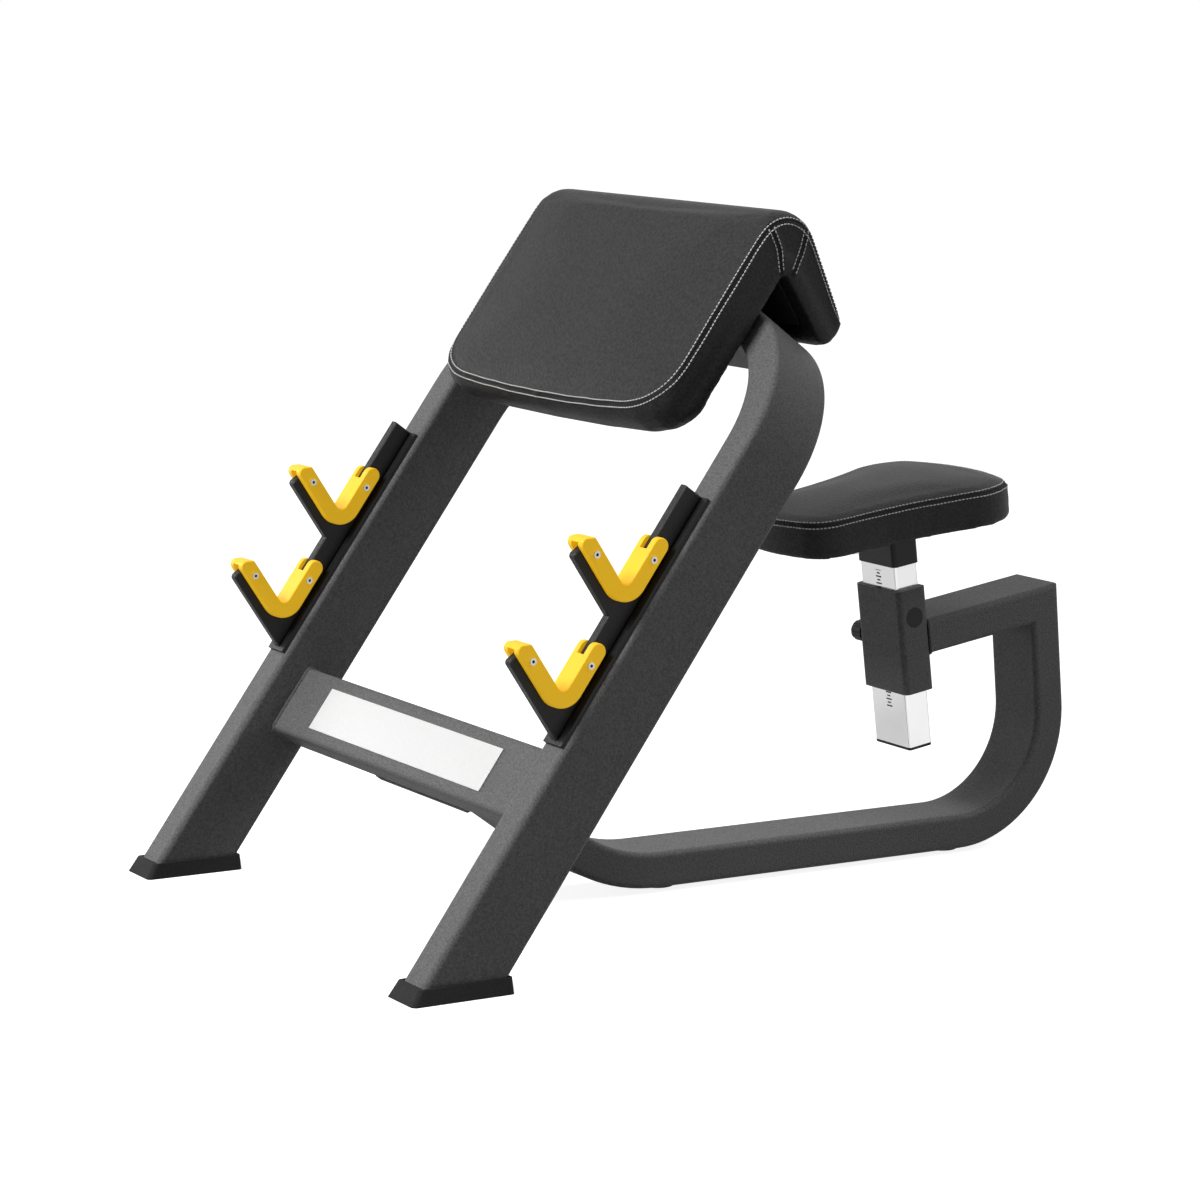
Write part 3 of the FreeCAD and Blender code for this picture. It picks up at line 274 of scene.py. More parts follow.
class BenchStage(bpy.types.PropertyGroup):
    """Light, floor and camera."""

    key_power: FloatProperty(
        name="Key light", description="Power of the large front light",
        default=188.0, unit="POWER",
    )
    top_power: FloatProperty(
        name="Top light", description="Power of the light above the bench",
        default=12.0, unit="POWER",
    )
    back_power: FloatProperty(
        name="Back light", description="Power of the light behind the near side",
        default=36.0, unit="POWER",
    )
    low_power: FloatProperty(
        name="Low light", description="Power of the low light on the far side",
        default=34.0, unit="POWER",
    )
    ambient: FloatProperty(
        name="Ambient", description="Light from all round on the bench", default=0.085, min=0.0
    )
    floor_glow: FloatProperty(
        name="Floor", description="How far the floor is lifted towards white",
        default=0.88, min=0.0, max=1.0,
    )
    camera_place: FloatVectorProperty(
        name="Camera", description="Where the camera stands",
        default=(3.908683, -2.724066, 1.163959), subtype="TRANSLATION",
    )
    camera_turn: FloatVectorProperty(
        name="Camera turn", description="Azimuth, height above level and roll of the camera",
        default=(radians(56.51), radians(9.254), radians(1.683)), subtype="EULER",
    )
    lens: FloatProperty(name="Lens", description="Focal length in millimetres", default=106.65)


def choose(piece):
    """Makes a piece the only one selected, and the active one."""
    bpy.ops.object.select_all(action="DESELECT")
    piece.select_set(True)
    bpy.context.view_layer.objects.active = piece


def apply_modifier(piece, kind, **settings):
    """Adds a modifier with these settings and applies it."""
    choose(piece)
    modifier = piece.modifiers.new(kind.lower(), kind)
    for name, value in settings.items():
        setattr(modifier, name, value)
    bpy.ops.object.modifier_apply(modifier=modifier.name)


def add_node(tree, kind, settings=(), **inputs):
    """Adds a shader node. An input is a value to set or another node's output to link."""
    node = tree.nodes.new(f"ShaderNode{kind}")
    for name, value in dict(settings).items():
        setattr(node, name, value)
    for name, value in inputs.items():
        connect(tree, node.inputs[name.replace("_", " ")], value)
    return node


def connect(tree, socket, value):
    """Links an output to a socket, or sets the socket's value."""
    if isinstance(value, bpy.types.NodeSocket):
        tree.links.new(value, socket)
    else:
        socket.default_value = value


def calculate(tree, operation, *values, clamp=False):
    """A Math node's result."""
    node = add_node(tree, "Math", {"operation": operation, "use_clamp": clamp})
    for socket, value in zip(node.inputs, values):
        connect(tree, socket, value)
    return node.outputs[0]


def spread(tree, value, low, high):
    """A value from 0 to 1 spread between two others."""
    return add_node(tree, "MapRange", Value=value, To_Min=low, To_Max=high).outputs[0]


def two_tones(tree, factor, first, second):
    """A colour between two others."""
    node = add_node(tree, "Mix", {"data_type": "RGBA"})
    for number, value in ((0, factor), (6, first), (7, second)):
        connect(tree, node.inputs[number], value)
    return node.outputs[2]


def colour_with(tree, shader, factor, first, second):
    """Gives a finish a colour between two others."""
    tree.links.new(two_tones(tree, factor, first, second), shader.inputs["Base Color"])


def shade(colour, amount):
    """A colour made lighter or darker, with its alpha."""
    return (*(min(1.0, part * amount) for part in colour), 1.0)


def new_finish(name, **constants):
    """A new material with its tree, its shader and the place on the piece that patterns read."""
    material = bpy.data.materials.new(name)
    material.use_nodes = True
    tree = material.node_tree
    shader = tree.nodes["Principled BSDF"]
    for socket, value in constants.items():
        shader.inputs[socket.replace("_", " ")].default_value = value
    place = add_node(tree, "TexCoord").outputs["Object"]
    return material, tree, shader, place


def speckle(tree, place, scale):
    """Noise of about one over scale metres, spread out over the whole way from 0 to 1."""
    fine = noise(tree, place, scale, detail=3.0)
    return add_node(tree, "MapRange", Value=fine, From_Min=0.34, From_Max=0.66).outputs[0]


def noise(tree, place, scale, detail=2.0):
    """Soft noise of about one over scale metres."""
    return add_node(tree, "TexNoise", Vector=place, Scale=scale, Detail=detail).outputs["Fac"]


def raise_grain(tree, shader, height, depth, strength=1.0):
    """Bumps a finish by a pattern, to a depth in metres."""
    bump = add_node(tree, "Bump", Height=height, Distance=depth, Strength=strength)
    tree.links.new(bump.outputs["Normal"], shader.inputs["Normal"])


def grained_finish(name, colour, tones, grain, depth, gloss, **constants):
    """A painted or moulded finish: cloudy tones, fine grain, and gloss that varies over it."""
    material, tree, shader, place = new_finish(name, **constants)
    clouds = noise(tree, place, scale=11.0, detail=3.0)
    fine = speckle(tree, place, grain)
    mixed = calculate(tree, "MULTIPLY_ADD", fine, 0.7, calculate(tree, "MULTIPLY", clouds, 0.3))
    colour_with(tree, shader, mixed, *(shade(colour, tone) for tone in tones))
    tree.links.new(spread(tree, clouds, *gloss), shader.inputs["Roughness"])
    raise_grain(tree, shader, fine, depth)
    return material


def leatherette(colour):
    """Black leatherette: pebbled grain with fine creases, and painted shade darkening the seams'
    grooves.
    """
    material, tree, shader, place = new_finish("leatherette", Specular_IOR_Level=0.17)
    pebbles = add_node(
        tree, "TexVoronoi", {"feature": "SMOOTH_F1"}, Vector=place, Scale=520.0, Smoothness=0.6
    )
    creases = speckle(tree, place, scale=260.0)
    clouds = noise(tree, place, scale=7.0, detail=3.0)
    grain = calculate(tree, "MULTIPLY_ADD", pebbles.outputs["Distance"], -1.0, creases)
    # Painted shade: the seams' grooves darken towards a near-black copy of the cover
    seam = add_node(tree, "Attribute", {"attribute_name": "seam"}).outputs["Fac"]
    skin = two_tones(tree, creases, shade(colour, 0.5), shade(colour, 1.5))
    colour_with(tree, shader, seam, skin, shade(colour, 0.12))
    worn = spread(tree, clouds, low=0.44, high=0.58)
    tree.links.new(calculate(tree, "MULTIPLY_ADD", seam, 0.35, worn), shader.inputs["Roughness"])
    raise_grain(tree, shader, grain, depth=0.0004, strength=0.55)
    return material


def plywood_sheets(colour):
    """Plywood: long grain on its faces and thin glue lines between its sheets."""
    material, tree, shader, place = new_finish("plywood_sheets", Specular_IOR_Level=0.25)
    leaned = add_node(
        tree, "Mapping", {"vector_type": "TEXTURE"}, Vector=place, Scale=(1.0, 0.05, 0.05)
    )
    streaks = noise(tree, leaned.outputs[0], scale=60.0, detail=5.0)
    sheets = add_node(
        tree, "TexWave", {"bands_direction": "DIAGONAL"}, Vector=place, Scale=110.0, Distortion=0.6
    )
    glue = spread(tree, sheets.outputs["Fac"], low=0.0, high=0.35)
    faces = two_tones(tree, streaks, shade(colour, 0.7), shade(colour, 1.15))
    colour_with(tree, shader, glue, faces, shade(colour, 0.4))
    tree.links.new(spread(tree, streaks, low=0.6, high=0.8), shader.inputs["Roughness"])
    raise_grain(tree, shader, streaks, depth=0.0004)
    return material


def printed_scale(tree, place):
    """Where the printed scale is: a long tick each centimetre up the post, short ones between."""
    turned = add_node(
        tree, "Mapping", {"vector_type": "TEXTURE"},
        Vector=place, Location=SEAT.translation, Rotation=SEAT.to_euler(),
    )
    across, depth, height = add_node(tree, "SeparateXYZ", Vector=turned.outputs[0]).outputs
    aside = calculate(tree, "ABSOLUTE", calculate(tree, "SUBTRACT", across, SCALE_MIDDLE))
    ticks = []
    for start, half in TICK_ROWS:
        step = calculate(tree, "FRACT", calculate(tree, "MULTIPLY_ADD", height, TICKS, start))
        line = calculate(tree, "LESS_THAN", step, TICK_SHARE)
        ticks.append(calculate(tree, "MULTIPLY", line, calculate(tree, "LESS_THAN", aside, half)))
    marks = calculate(tree, "MAXIMUM", *ticks)
    front = calculate(tree, "LESS_THAN", depth, SCALE_FRONT)
    length = calculate(tree, "COMPARE", height, 0.0, SCALE_HALF)
    return calculate(tree, "MULTIPLY", marks, calculate(tree, "MULTIPLY", front, length))


def scaled_chrome(colour):
    """Polished chrome with faint draw lines and a printed scale on its front."""
    material, tree, shader, place = new_finish("scaled_chrome")
    drawn = add_node(
        tree, "Mapping", {"vector_type": "TEXTURE"}, Vector=place, Scale=(1.0, 1.0, 40.0)
    )
    lines = noise(tree, drawn.outputs[0], scale=700.0, detail=3.0)
    clouds = noise(tree, place, scale=14.0)
    marks = printed_scale(tree, place)
    plate = two_tones(tree, clouds, shade(colour, 0.9), shade(colour, 1.02))
    colour_with(tree, shader, marks, plate, SCALE_INK)
    tree.links.new(calculate(tree, "SUBTRACT", 1.0, marks), shader.inputs["Metallic"])
    polish = spread(tree, lines, low=0.10, high=0.22)
    tree.links.new(calculate(tree, "MULTIPLY_ADD", marks, 0.4, polish), shader.inputs["Roughness"])
    raise_grain(tree, shader, lines, depth=0.00002, strength=0.3)
    return material


def zinc_plate(name, colour):
    """Bright zinc on bolts, screws and nuts, mottled and lightly scratched."""
    material, tree, shader, place = new_finish(name, Metallic=1.0)
    spots = noise(tree, place, scale=90.0, detail=4.0)
    scratches = noise(tree, place, scale=2200.0, detail=3.0)
    colour_with(tree, shader, spots, shade(colour, 0.7), shade(colour, 1.2))
    tree.links.new(spread(tree, spots, low=0.24, high=0.42), shader.inputs["Roughness"])
    raise_grain(tree, shader, scratches, depth=0.00005)
    return material


def paint_socket_shade(material):
    """Paints shade on the liners' screws below their heads, where only their sockets show: a dark
    colour, not metallic, stands for the shade inside the sockets.
    """
    tree = material.node_tree
    shader = tree.nodes["Principled BSDF"]
    place = add_node(tree, "TexCoord").outputs["Object"]
    across = add_node(tree, "SeparateXYZ", Vector=place).outputs[0]
    from_leg = calculate(tree, "SUBTRACT", calculate(tree, "ABSOLUTE", across), UPRIGHT_MIDDLE)
    outward = calculate(tree, "MULTIPLY", calculate(tree, "SIGN", across), from_leg)
    sunk = calculate(tree, "LESS_THAN", outward, SCREW_HEAD)
    bright = shader.inputs["Base Color"].links[0].from_socket
    colour_with(tree, shader, sunk, bright, SOCKET_PAINTED_SHADE)
    tree.links.new(calculate(tree, "SUBTRACT", 1.0, sunk), shader.inputs["Metallic"])
    return material


def twisted_thread(colour):
    """Pale sewing thread with its twist."""
    material, tree, shader, place = new_finish(
        "twisted_thread", Specular_IOR_Level=0.3, Sheen_Weight=0.2
    )
    plies = add_node(
        tree, "TexWave", {"bands_direction": "DIAGONAL"}, Vector=place, Scale=420.0, Distortion=1.0
    ).outputs["Fac"]
    colour_with(tree, shader, plies, shade(colour, 0.8), shade(colour, 1.1))
    tree.links.new(spread(tree, plies, low=0.55, high=0.75), shader.inputs["Roughness"])
    raise_grain(tree, shader, plies, depth=0.0002, strength=0.5)
    return material


def all_finishes(colours):
    """Every finish of the bench, by its slot in the record."""
    # Painted light: the yellow liners glow, which lifts their shaded sides
    glow = {"Emission_Color": shade(colours.liner_yellow, 1.0), "Emission_Strength": LINER_PAINTED_LIGHT}
    finishes = {}
    for slot, (name, *pattern, specular) in GRAINED.items():
        constants = {"Specular_IOR_Level": specular, **(glow if slot == "liner_yellow" else {})}
        finishes[slot] = grained_finish(name, getattr(colours, slot), *pattern, **constants)
    finishes["cushion_cover"] = leatherette(colours.cushion_cover)
    finishes["plywood"] = plywood_sheets(colours.plywood)
    finishes["chrome"] = scaled_chrome(colours.chrome)
    finishes["zinc_steel"] = zinc_plate("zinc_plate", colours.zinc_steel)
    return finishes


def finish_of(slot):
    """The slot's finish, as the finishes operator made it on the first node that has it."""
    for name, node in frame["nodes"].items():
        if NODE_SLOTS[name] == slot:
            return node.data.materials[0]
    raise ValueError(f"no node has the slot {slot}")


def evenly(points, gap, closed):
    """The same line with points an even gap apart."""
    ends = points + points[:1] if closed else points
    spaced = []
    carried = 0.0
    for start, end in zip(ends, ends[1:]):
        length = (end - start).length
        while carried < length:
            spaced.append(start.lerp(end, carried / length))
            carried += gap
        carried -= length
    return spaced


def mend(piece):
    """Joins a mesh's doubled points and turns its faces outwards."""
    choose(piece)
    bpy.ops.object.mode_set(mode="EDIT")
    bpy.ops.mesh.select_all(action="SELECT")
    bpy.ops.mesh.remove_doubles(threshold=DOUBLES_GAP)
    bpy.ops.mesh.normals_make_consistent(inside=False)
    bpy.ops.object.mode_set(mode="OBJECT")


def loose_skin(node, name):
    """A skin over a cushion's solid, remeshed into small even faces."""
    cushions = bpy.context.scene.bench_cushions
    skin = bpy.data.objects.new(name, frame["nodes"][node].data.copy())
    bpy.context.scene.collection.objects.link(skin)
    mend(skin)
    apply_modifier(skin, "REMESH", mode="VOXEL", voxel_size=cushions.mesh_size)
    apply_modifier(skin, "SMOOTH", factor=0.5, iterations=3)
    return skin


def nearness(skin, lines, reach):
    """For each point of a skin, 1 on one of the lines and 0 at the reach from it."""
    points = [point for line in lines for point in line]
    tree = KDTree(len(points))
    for number, point in enumerate(points):
        tree.insert(point, number)
    tree.balance()
    near = []
    for vertex in skin.data.vertices:
        share = max(0.0, 1.0 - tree.find(vertex.co)[2] / reach)
        near.append(share * share * (3.0 - 2.0 * share))
    return near


def weigh(skin, name, weights):
    """Keeps a weight for each point of a skin in a vertex group."""
    group = skin.vertex_groups.new(name=name)
    for number, weight in enumerate(weights):
        group.add([number], weight, "REPLACE")


def swell(skin, held):
    """Draws a skin in, then lets the filling swell it where it isn't held, up to its rise."""
    cushions = bpy.context.scene.bench_cushions
    weigh(skin, "held", held)
    outs = [vertex.normal.copy() for vertex in skin.data.vertices]
    start = [
        vertex.co - out * cushions.slack * (1.0 - weight)
        for vertex, out, weight in zip(skin.data.vertices, outs, held)
    ]
    for vertex, place in zip(skin.data.vertices, start):
        vertex.co = place
    filling = skin.modifiers.new("filling", "CLOTH")
    filling.settings.quality = 5
    filling.settings.tension_stiffness = 25.0
    filling.settings.compression_stiffness = 25.0
    filling.settings.bending_stiffness = 2.0
    filling.settings.use_pressure = True
    filling.settings.uniform_pressure_force = cushions.pressure
    filling.settings.vertex_group_mass = "held"
    filling.settings.effector_weights.gravity = 0.0
    filling.collision_settings.use_collision = False
    for number in range(1, SWELL_FRAMES + 1):
        bpy.context.scene.frame_set(number)
    choose(skin)
    bpy.ops.object.modifier_apply(modifier=filling.name)
    bpy.context.scene.frame_set(1)
    for vertex, before, out in zip(skin.data.vertices, start, outs):
        lift = min(max((vertex.co - before).dot(out), 0.0), cushions.rise)
        vertex.co = before + out * lift


def sink_seams(skin, seams):
    """Makes a swollen skin finer, sinks its seams and marks them with painted shade for the
    leatherette.
    """
    cushions = bpy.context.scene.bench_cushions
    apply_modifier(skin, "SMOOTH", factor=0.5, iterations=4)
    apply_modifier(skin, "SUBSURF", levels=1, render_levels=1)
    weigh(skin, "grooves", nearness(skin, seams, cushions.groove_wide))
    apply_modifier(
        skin, "DISPLACE", vertex_group="grooves", strength=-cushions.groove, mid_level=0.0
    )
    # Where the leatherette paints shade in the seams' grooves
    mark = skin.data.attributes.new("seam", "FLOAT", "POINT")
    mark.data.foreach_set("value", nearness(skin, seams, cushions.groove_wide * 1.35))
    skin.vertex_groups.clear()
    choose(skin)
    bpy.ops.object.shade_smooth()


def on_skin(skin, points):
    """The nearest places on a skin, with the way out from it there."""
    found = [skin.closest_point_on_mesh(point) for point in points]
    return [place for _, place, _, _ in found], [out for _, _, out, _ in found]


def smoothed(values, closed, reach):
    """A line's points or ways, each the mean of its neighbours up to a reach on both sides."""
    count = len(values)
    means = []
    for number in range(count):
        near = range(number - reach, number + reach + 1)
        if closed:
            window = [values[place % count] for place in near]
        else:
            window = [values[min(max(place, 0), count - 1)] for place in near]
        means.append(sum(window, Vector()) / len(window))
    return means


def rows_beside(skin, seam, closed):
    """The lines of stitches on both sides of a seam, laid on the skin."""
    cushions = bpy.context.scene.bench_cushions
    line, outs = on_skin(skin, evenly(seam, ROW_STEP, closed))
    line = smoothed(line, closed, LINE_MEAN)
    outs = smoothed(outs, closed, WAY_MEAN)
    count = len(line)
    rows = []
    for side in (cushions.row_gap, -cushions.row_gap):
        row = []
        for number, (point, out) in enumerate(zip(line, outs)):
            last, following = number - 1, (number + 1) % count
            if not closed:
                last, following = max(last, 0), min(number + 1, count - 1)
            row.append(point + (line[following] - line[last]).cross(out).normalized() * side)
        laid, ways = on_skin(skin, row)
        reach = RING_ROW_MEAN if closed else SLANT_ROW_MEAN
        laid = smoothed(laid, closed, reach)
        ways = [way.normalized() for way in smoothed(ways, closed, reach)]
        # A smoothed row cuts round corners short, so it is lifted out where it sinks into the skin
        nearest, _ = on_skin(skin, laid)
        lifts = [
            way * max(0.0, (near - place).dot(way)) for near, place, way in zip(nearest, laid, ways)
        ]
        lifts = smoothed(lifts, closed, LIFT_MEAN)
        rows.append([
            place + lift + way * cushions.thread / 4 for place, lift, way in zip(laid, lifts, ways)
        ])
    return rows


def one_stitch():
    """One stitch along x: a ball drawn out into a short rod with round ends."""
    cushions = bpy.context.scene.bench_cushions
    bpy.ops.object.select_all(action="DESELECT")
    bpy.ops.mesh.primitive_uv_sphere_add(
        segments=6, ring_count=6, radius=cushions.thread / 2, rotation=(0, pi / 2, 0)
    )
    stitch = bpy.context.object
    bpy.ops.object.transform_apply(location=True, rotation=True, scale=True)
    bpy.ops.object.mode_set(mode="EDIT")
    for side in (1, -1):
        bpy.ops.mesh.select_all(action="DESELECT")
        bpy.ops.object.mode_set(mode="OBJECT")
        for vertex in stitch.data.vertices:
            vertex.select = vertex.co.x * side > cushions.thread * 0.1
        bpy.ops.object.mode_set(mode="EDIT")
        stretch = (cushions.stitch_length - cushions.thread) / 2
        bpy.ops.transform.translate(value=(side * stretch, 0, 0))
    bpy.ops.object.mode_set(mode="OBJECT")
    return stitch


def sew(name, rows, body):
    """Sews stitches along rows of points and joins them into one piece on a body."""
    pitch = bpy.context.scene.bench_cushions.stitch_pitch
    lengths = []
    for points, closed in rows:
        guide = bpy.data.curves.new("row", "CURVE")
        guide.dimensions = "3D"
        spline = guide.splines.new("POLY")
        spline.points.add(len(points) - 1)
        for knot, point in zip(spline.points, points):
            knot.co = (*point, 1.0)
        spline.use_cyclic_u = closed
        path = bpy.data.objects.new("row", guide)
        bpy.context.scene.collection.objects.link(path)
        stitch = one_stitch()
        apply_modifier(
            stitch, "ARRAY", fit_type="FIT_CURVE", curve=path, use_relative_offset=False,
            use_constant_offset=True, constant_offset_displace=(pitch, 0, 0),
        )
        apply_modifier(stitch, "CURVE", object=path, deform_axis="POS_X")
        bpy.data.objects.remove(path)
        lengths.append(stitch)
    bpy.ops.object.select_all(action="DESELECT")
    for stitch in lengths:
        stitch.select_set(True)
    bpy.context.view_layer.objects.active = lengths[0]
    bpy.ops.object.join()
    thread = bpy.context.object
    thread.name = name
    bpy.ops.object.shade_smooth()
    colour = bpy.context.scene.bench_finishes.thread
    finish = bpy.data.materials.get("twisted_thread") or twisted_thread(colour)
    thread.data.materials.append(finish)
    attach(thread, body)


def dress_cushion(skin, node, body):
    """Gives a finished skin its leatherette and puts it in its solid's place."""
    skin.data.materials.clear()
    skin.data.materials.append(finish_of("cushion_cover"))
    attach(skin, body)
    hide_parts(node)


def pad_end_shape(share):
    """The lift of the arm pad's lower edge and the draw of its skin at a share of its half."""
    for (near, *first), (far, *second) in zip(PAD_END_SHAPE, PAD_END_SHAPE[1:]):
        if share <= far:
            part = (share - near) / (far - near)
            return [a + (b - a) * part for a, b in zip(first, second)]
    return PAD_END_SHAPE[-1][1:]


def pad_profile(draw):
    """The arm pad's outside from its face over the ridge to its rear end, back and up."""
    face = draw - bpy.context.scene.bench_cushions.pad_face
    back, up = BOARD_CORNER
    length, slope, radius = SLAB_LENGTH - draw, SLAB_SLOPE, RIDGE_RADIUS
    inner = Vector((back + length * cos(slope), up - length * sin(slope)))
    slab = inner + Vector((sin(slope), cos(slope))) * (SLAB_THICK - draw)
    rise = ((slab.x - face - radius) * sin(SLAB_OUTSIDE) - radius) / cos(SLAB_OUTSIDE)
    ridge = Vector((face + radius, slab.y + rise))
    turn = [radians(angle) for angle in RIDGE_ANGLES]
    return [ridge + radius * Vector((cos(angle), sin(angle))) for angle in turn] + [slab]


def pad_seams():
    """The arm pad's seams: one all round its long panel, and a pair of slanted ones on each end."""
    cushions = bpy.context.scene.bench_cushions
    half = cushions.pad_half
    right = []
    for step in range(PAD_EDGE_STEPS + 1):
        share = sin(step / PAD_EDGE_STEPS * pi / 2)
        lift, draw = pad_end_shape(share)
        low = cushions.pad_low - cushions.pad_bow * (1 - share * share) + draw + lift
        right.append(Vector((share * half, draw - cushions.pad_face, low)))
    right += [Vector((half, back, up)) for back, up in pad_profile(PAD_END_SHAPE[-1][-1])]
    left = [Vector((-point.x, point.y, point.z)) for point in reversed(right[1:])]
    slants = [
        [LEGS @ Vector((side, *place)) for place in slant]
        for side in (half, -half) for slant in PAD_SLANTS
    ]
    return [LEGS @ point for point in right + left], slants


def fading(value, low, high):
    """1 below a low value, 0 above a high one and an even fall between them."""
    return min(max((high - value) / (high - low), 0.0), 1.0)


def beside_boards(skin):
    """How far the boards hold each point of the arm pad's skin: 1 on them, 0 away from them."""
    corner = Vector(BOARD_CORNER)
    boards = [Vector(end) - corner for end in BOARD_ENDS]
    on_legs = LEGS.inverted()
    held = []
    for vertex in skin.data.vertices:
        place = on_legs @ vertex.co
        spot = Vector((place.y, place.z))
        gaps = []
        for board in boards:
            along = board.normalized()
            reach = min(max((spot - corner).dot(along), 0.0), board.length)
            gaps.append((spot - corner - along * reach).length)
        held.append(fading(min(gaps), *BOARD_GRIP))
    return held


class BENCH_OT_finishes(bpy.types.Operator):
    """Gives every rigid piece of the bench its finish"""

    bl_idname = "bench.finishes"
    bl_label = "Finishes"

    def execute(self, context):
        finishes = all_finishes(context.scene.bench_finishes)
        for name, node in frame["nodes"].items():
            node.data.materials.clear()
            node.data.materials.append(finishes[NODE_SLOTS[name]])
        screws = zinc_plate("socket_screws", context.scene.bench_finishes.zinc_steel)
        # The liners' screws get painted shade in their sockets
        frame["nodes"]["cradle_screws"].data.materials[0] = paint_socket_shade(screws)
        return {"FINISHED"}


class BENCH_OT_welds(bpy.types.Operator):
    """Lays a rippled bead where one tube is welded to another"""

    bl_idname = "bench.welds"
    bl_label = "Weld beads"

    def execute(self, context):
        ripples = bpy.data.textures.new("ripples", "CLOUDS")
        ripples.noise_scale = WELD_RIPPLES
        welds = context.scene.bench_welds
        for name, place in WELDS.items():
            bead = self.bead(name, welds)
            apply_modifier(bead, "DISPLACE", texture=ripples, mid_level=0.5, strength=welds.ripple)
            bead.matrix_world = place
            bpy.ops.object.transform_apply(location=True, rotation=True, scale=True)
            bpy.ops.object.shade_smooth()
            bead.data.materials.append(finish_of("frame_paint"))
            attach(bead, "frame")
        return {"FINISHED"}

    @staticmethod
    def bead(name, welds):
        """A bead round a tube's section: a plane with round corners, its outline made a rod."""
        bpy.ops.object.select_all(action="DESELECT")
        bpy.ops.mesh.primitive_plane_add(size=1.0, location=(0, 0, 0))
        bead = bpy.context.object
        bead.name = name
        bead.scale = (*welds.tube, 1.0)
        bpy.ops.object.transform_apply(location=True, rotation=True, scale=True)
        bpy.ops.object.mode_set(mode="EDIT")
        bpy.ops.mesh.select_all(action="SELECT")
        bpy.ops.mesh.bevel(offset=welds.corner, segments=4, affect="VERTICES")
        bpy.ops.mesh.select_all(action="SELECT")
        bpy.ops.mesh.delete(type="ONLY_FACE")
        bpy.ops.mesh.select_all(action="SELECT")
        bpy.ops.mesh.subdivide(number_cuts=12)
        bpy.ops.object.mode_set(mode="OBJECT")
        bpy.ops.object.convert(target="CURVE")
        bead.data.bevel_depth = welds.bead
        bead.data.bevel_resolution = 2
        bpy.ops.object.convert(target="MESH")
        mend(bead)
        return bead


class BENCH_OT_arm_pad(bpy.types.Operator):
    """Swells the arm pad's cover, sinks its seams and sews them"""

    bl_idname = "bench.arm_pad"
    bl_label = "Arm pad"

    def execute(self, context):
        around, slants = pad_seams()
        skin = loose_skin("arm_pad", "arm_pad_cover")
        lines = [smoothed(evenly(around, SEAM_STEP, True), True, SEAM_MEAN)]
        lines += [evenly(line, SEAM_STEP, False) for line in slants]
        lines = [on_skin(skin, line)[0] for line in lines]
        sewn = nearness(skin, lines, SEAM_GRIP)
        held = [max(*pair) for pair in zip(sewn, beside_boards(skin))]
        swell(skin, held)
        lines = [on_skin(skin, line)[0] for line in lines]
        sink_seams(skin, lines)
        dress_cushion(skin, "arm_pad", "frame")
        rows = [(row, True) for row in rows_beside(skin, lines[0], True)]
        for line in lines[1:]:
            rows += [(row, False) for row in rows_beside(skin, line[SLANT_ROW_START:], False)]
        sew("arm_pad_stitches", rows, "frame")
        return {"FINISHED"}


class BENCH_OT_seat_cushion(bpy.types.Operator):
    """Swells the seat's cover, sinks its seam and sews it"""

    bl_idname = "bench.seat_cushion"
    bl_label = "Seat cushion"

    def execute(self, context):
        level = context.scene.bench_cushions.seam_level
        skin = loose_skin("seat_cushion", "seat_cushion_cover")
        around = self.ring(skin, level)
        sewn = nearness(skin, [evenly(around, SEAM_STEP, True)], SEAM_GRIP)
        on_seat = SEAT.inverted()
        under = [fading((on_seat @ vertex.co).z, *SEAT_GRIP) for vertex in skin.data.vertices]
        swell(skin, [max(*pair) for pair in zip(sewn, under)])
        around = evenly(self.ring(skin, level), SEAM_STEP, True)
        sink_seams(skin, [around])
        dress_cushion(skin, "seat_cushion", "seat_carriage")
        rows = [(row, True) for row in rows_beside(skin, around, True)]
        sew("seat_stitches", rows, "seat_carriage")
        return {"FINISHED"}

    @staticmethod
    def ring(skin, level):
        """Points all round a skin at a height up the post."""
        middle = SEAT @ Vector((0, RING_BACK, level))
        points = []
        for step in range(RING_STEPS):
            angle = step * pi / (RING_STEPS / 2)
            way = (SEAT.to_3x3() @ Vector((cos(angle), sin(angle), 0))).normalized()
            found, place, _, _ = skin.ray_cast(middle + way, -way)
            if not found:
                raise ValueError("the seat's cover has no side at the seam's height")
            points.append(place)
        return points


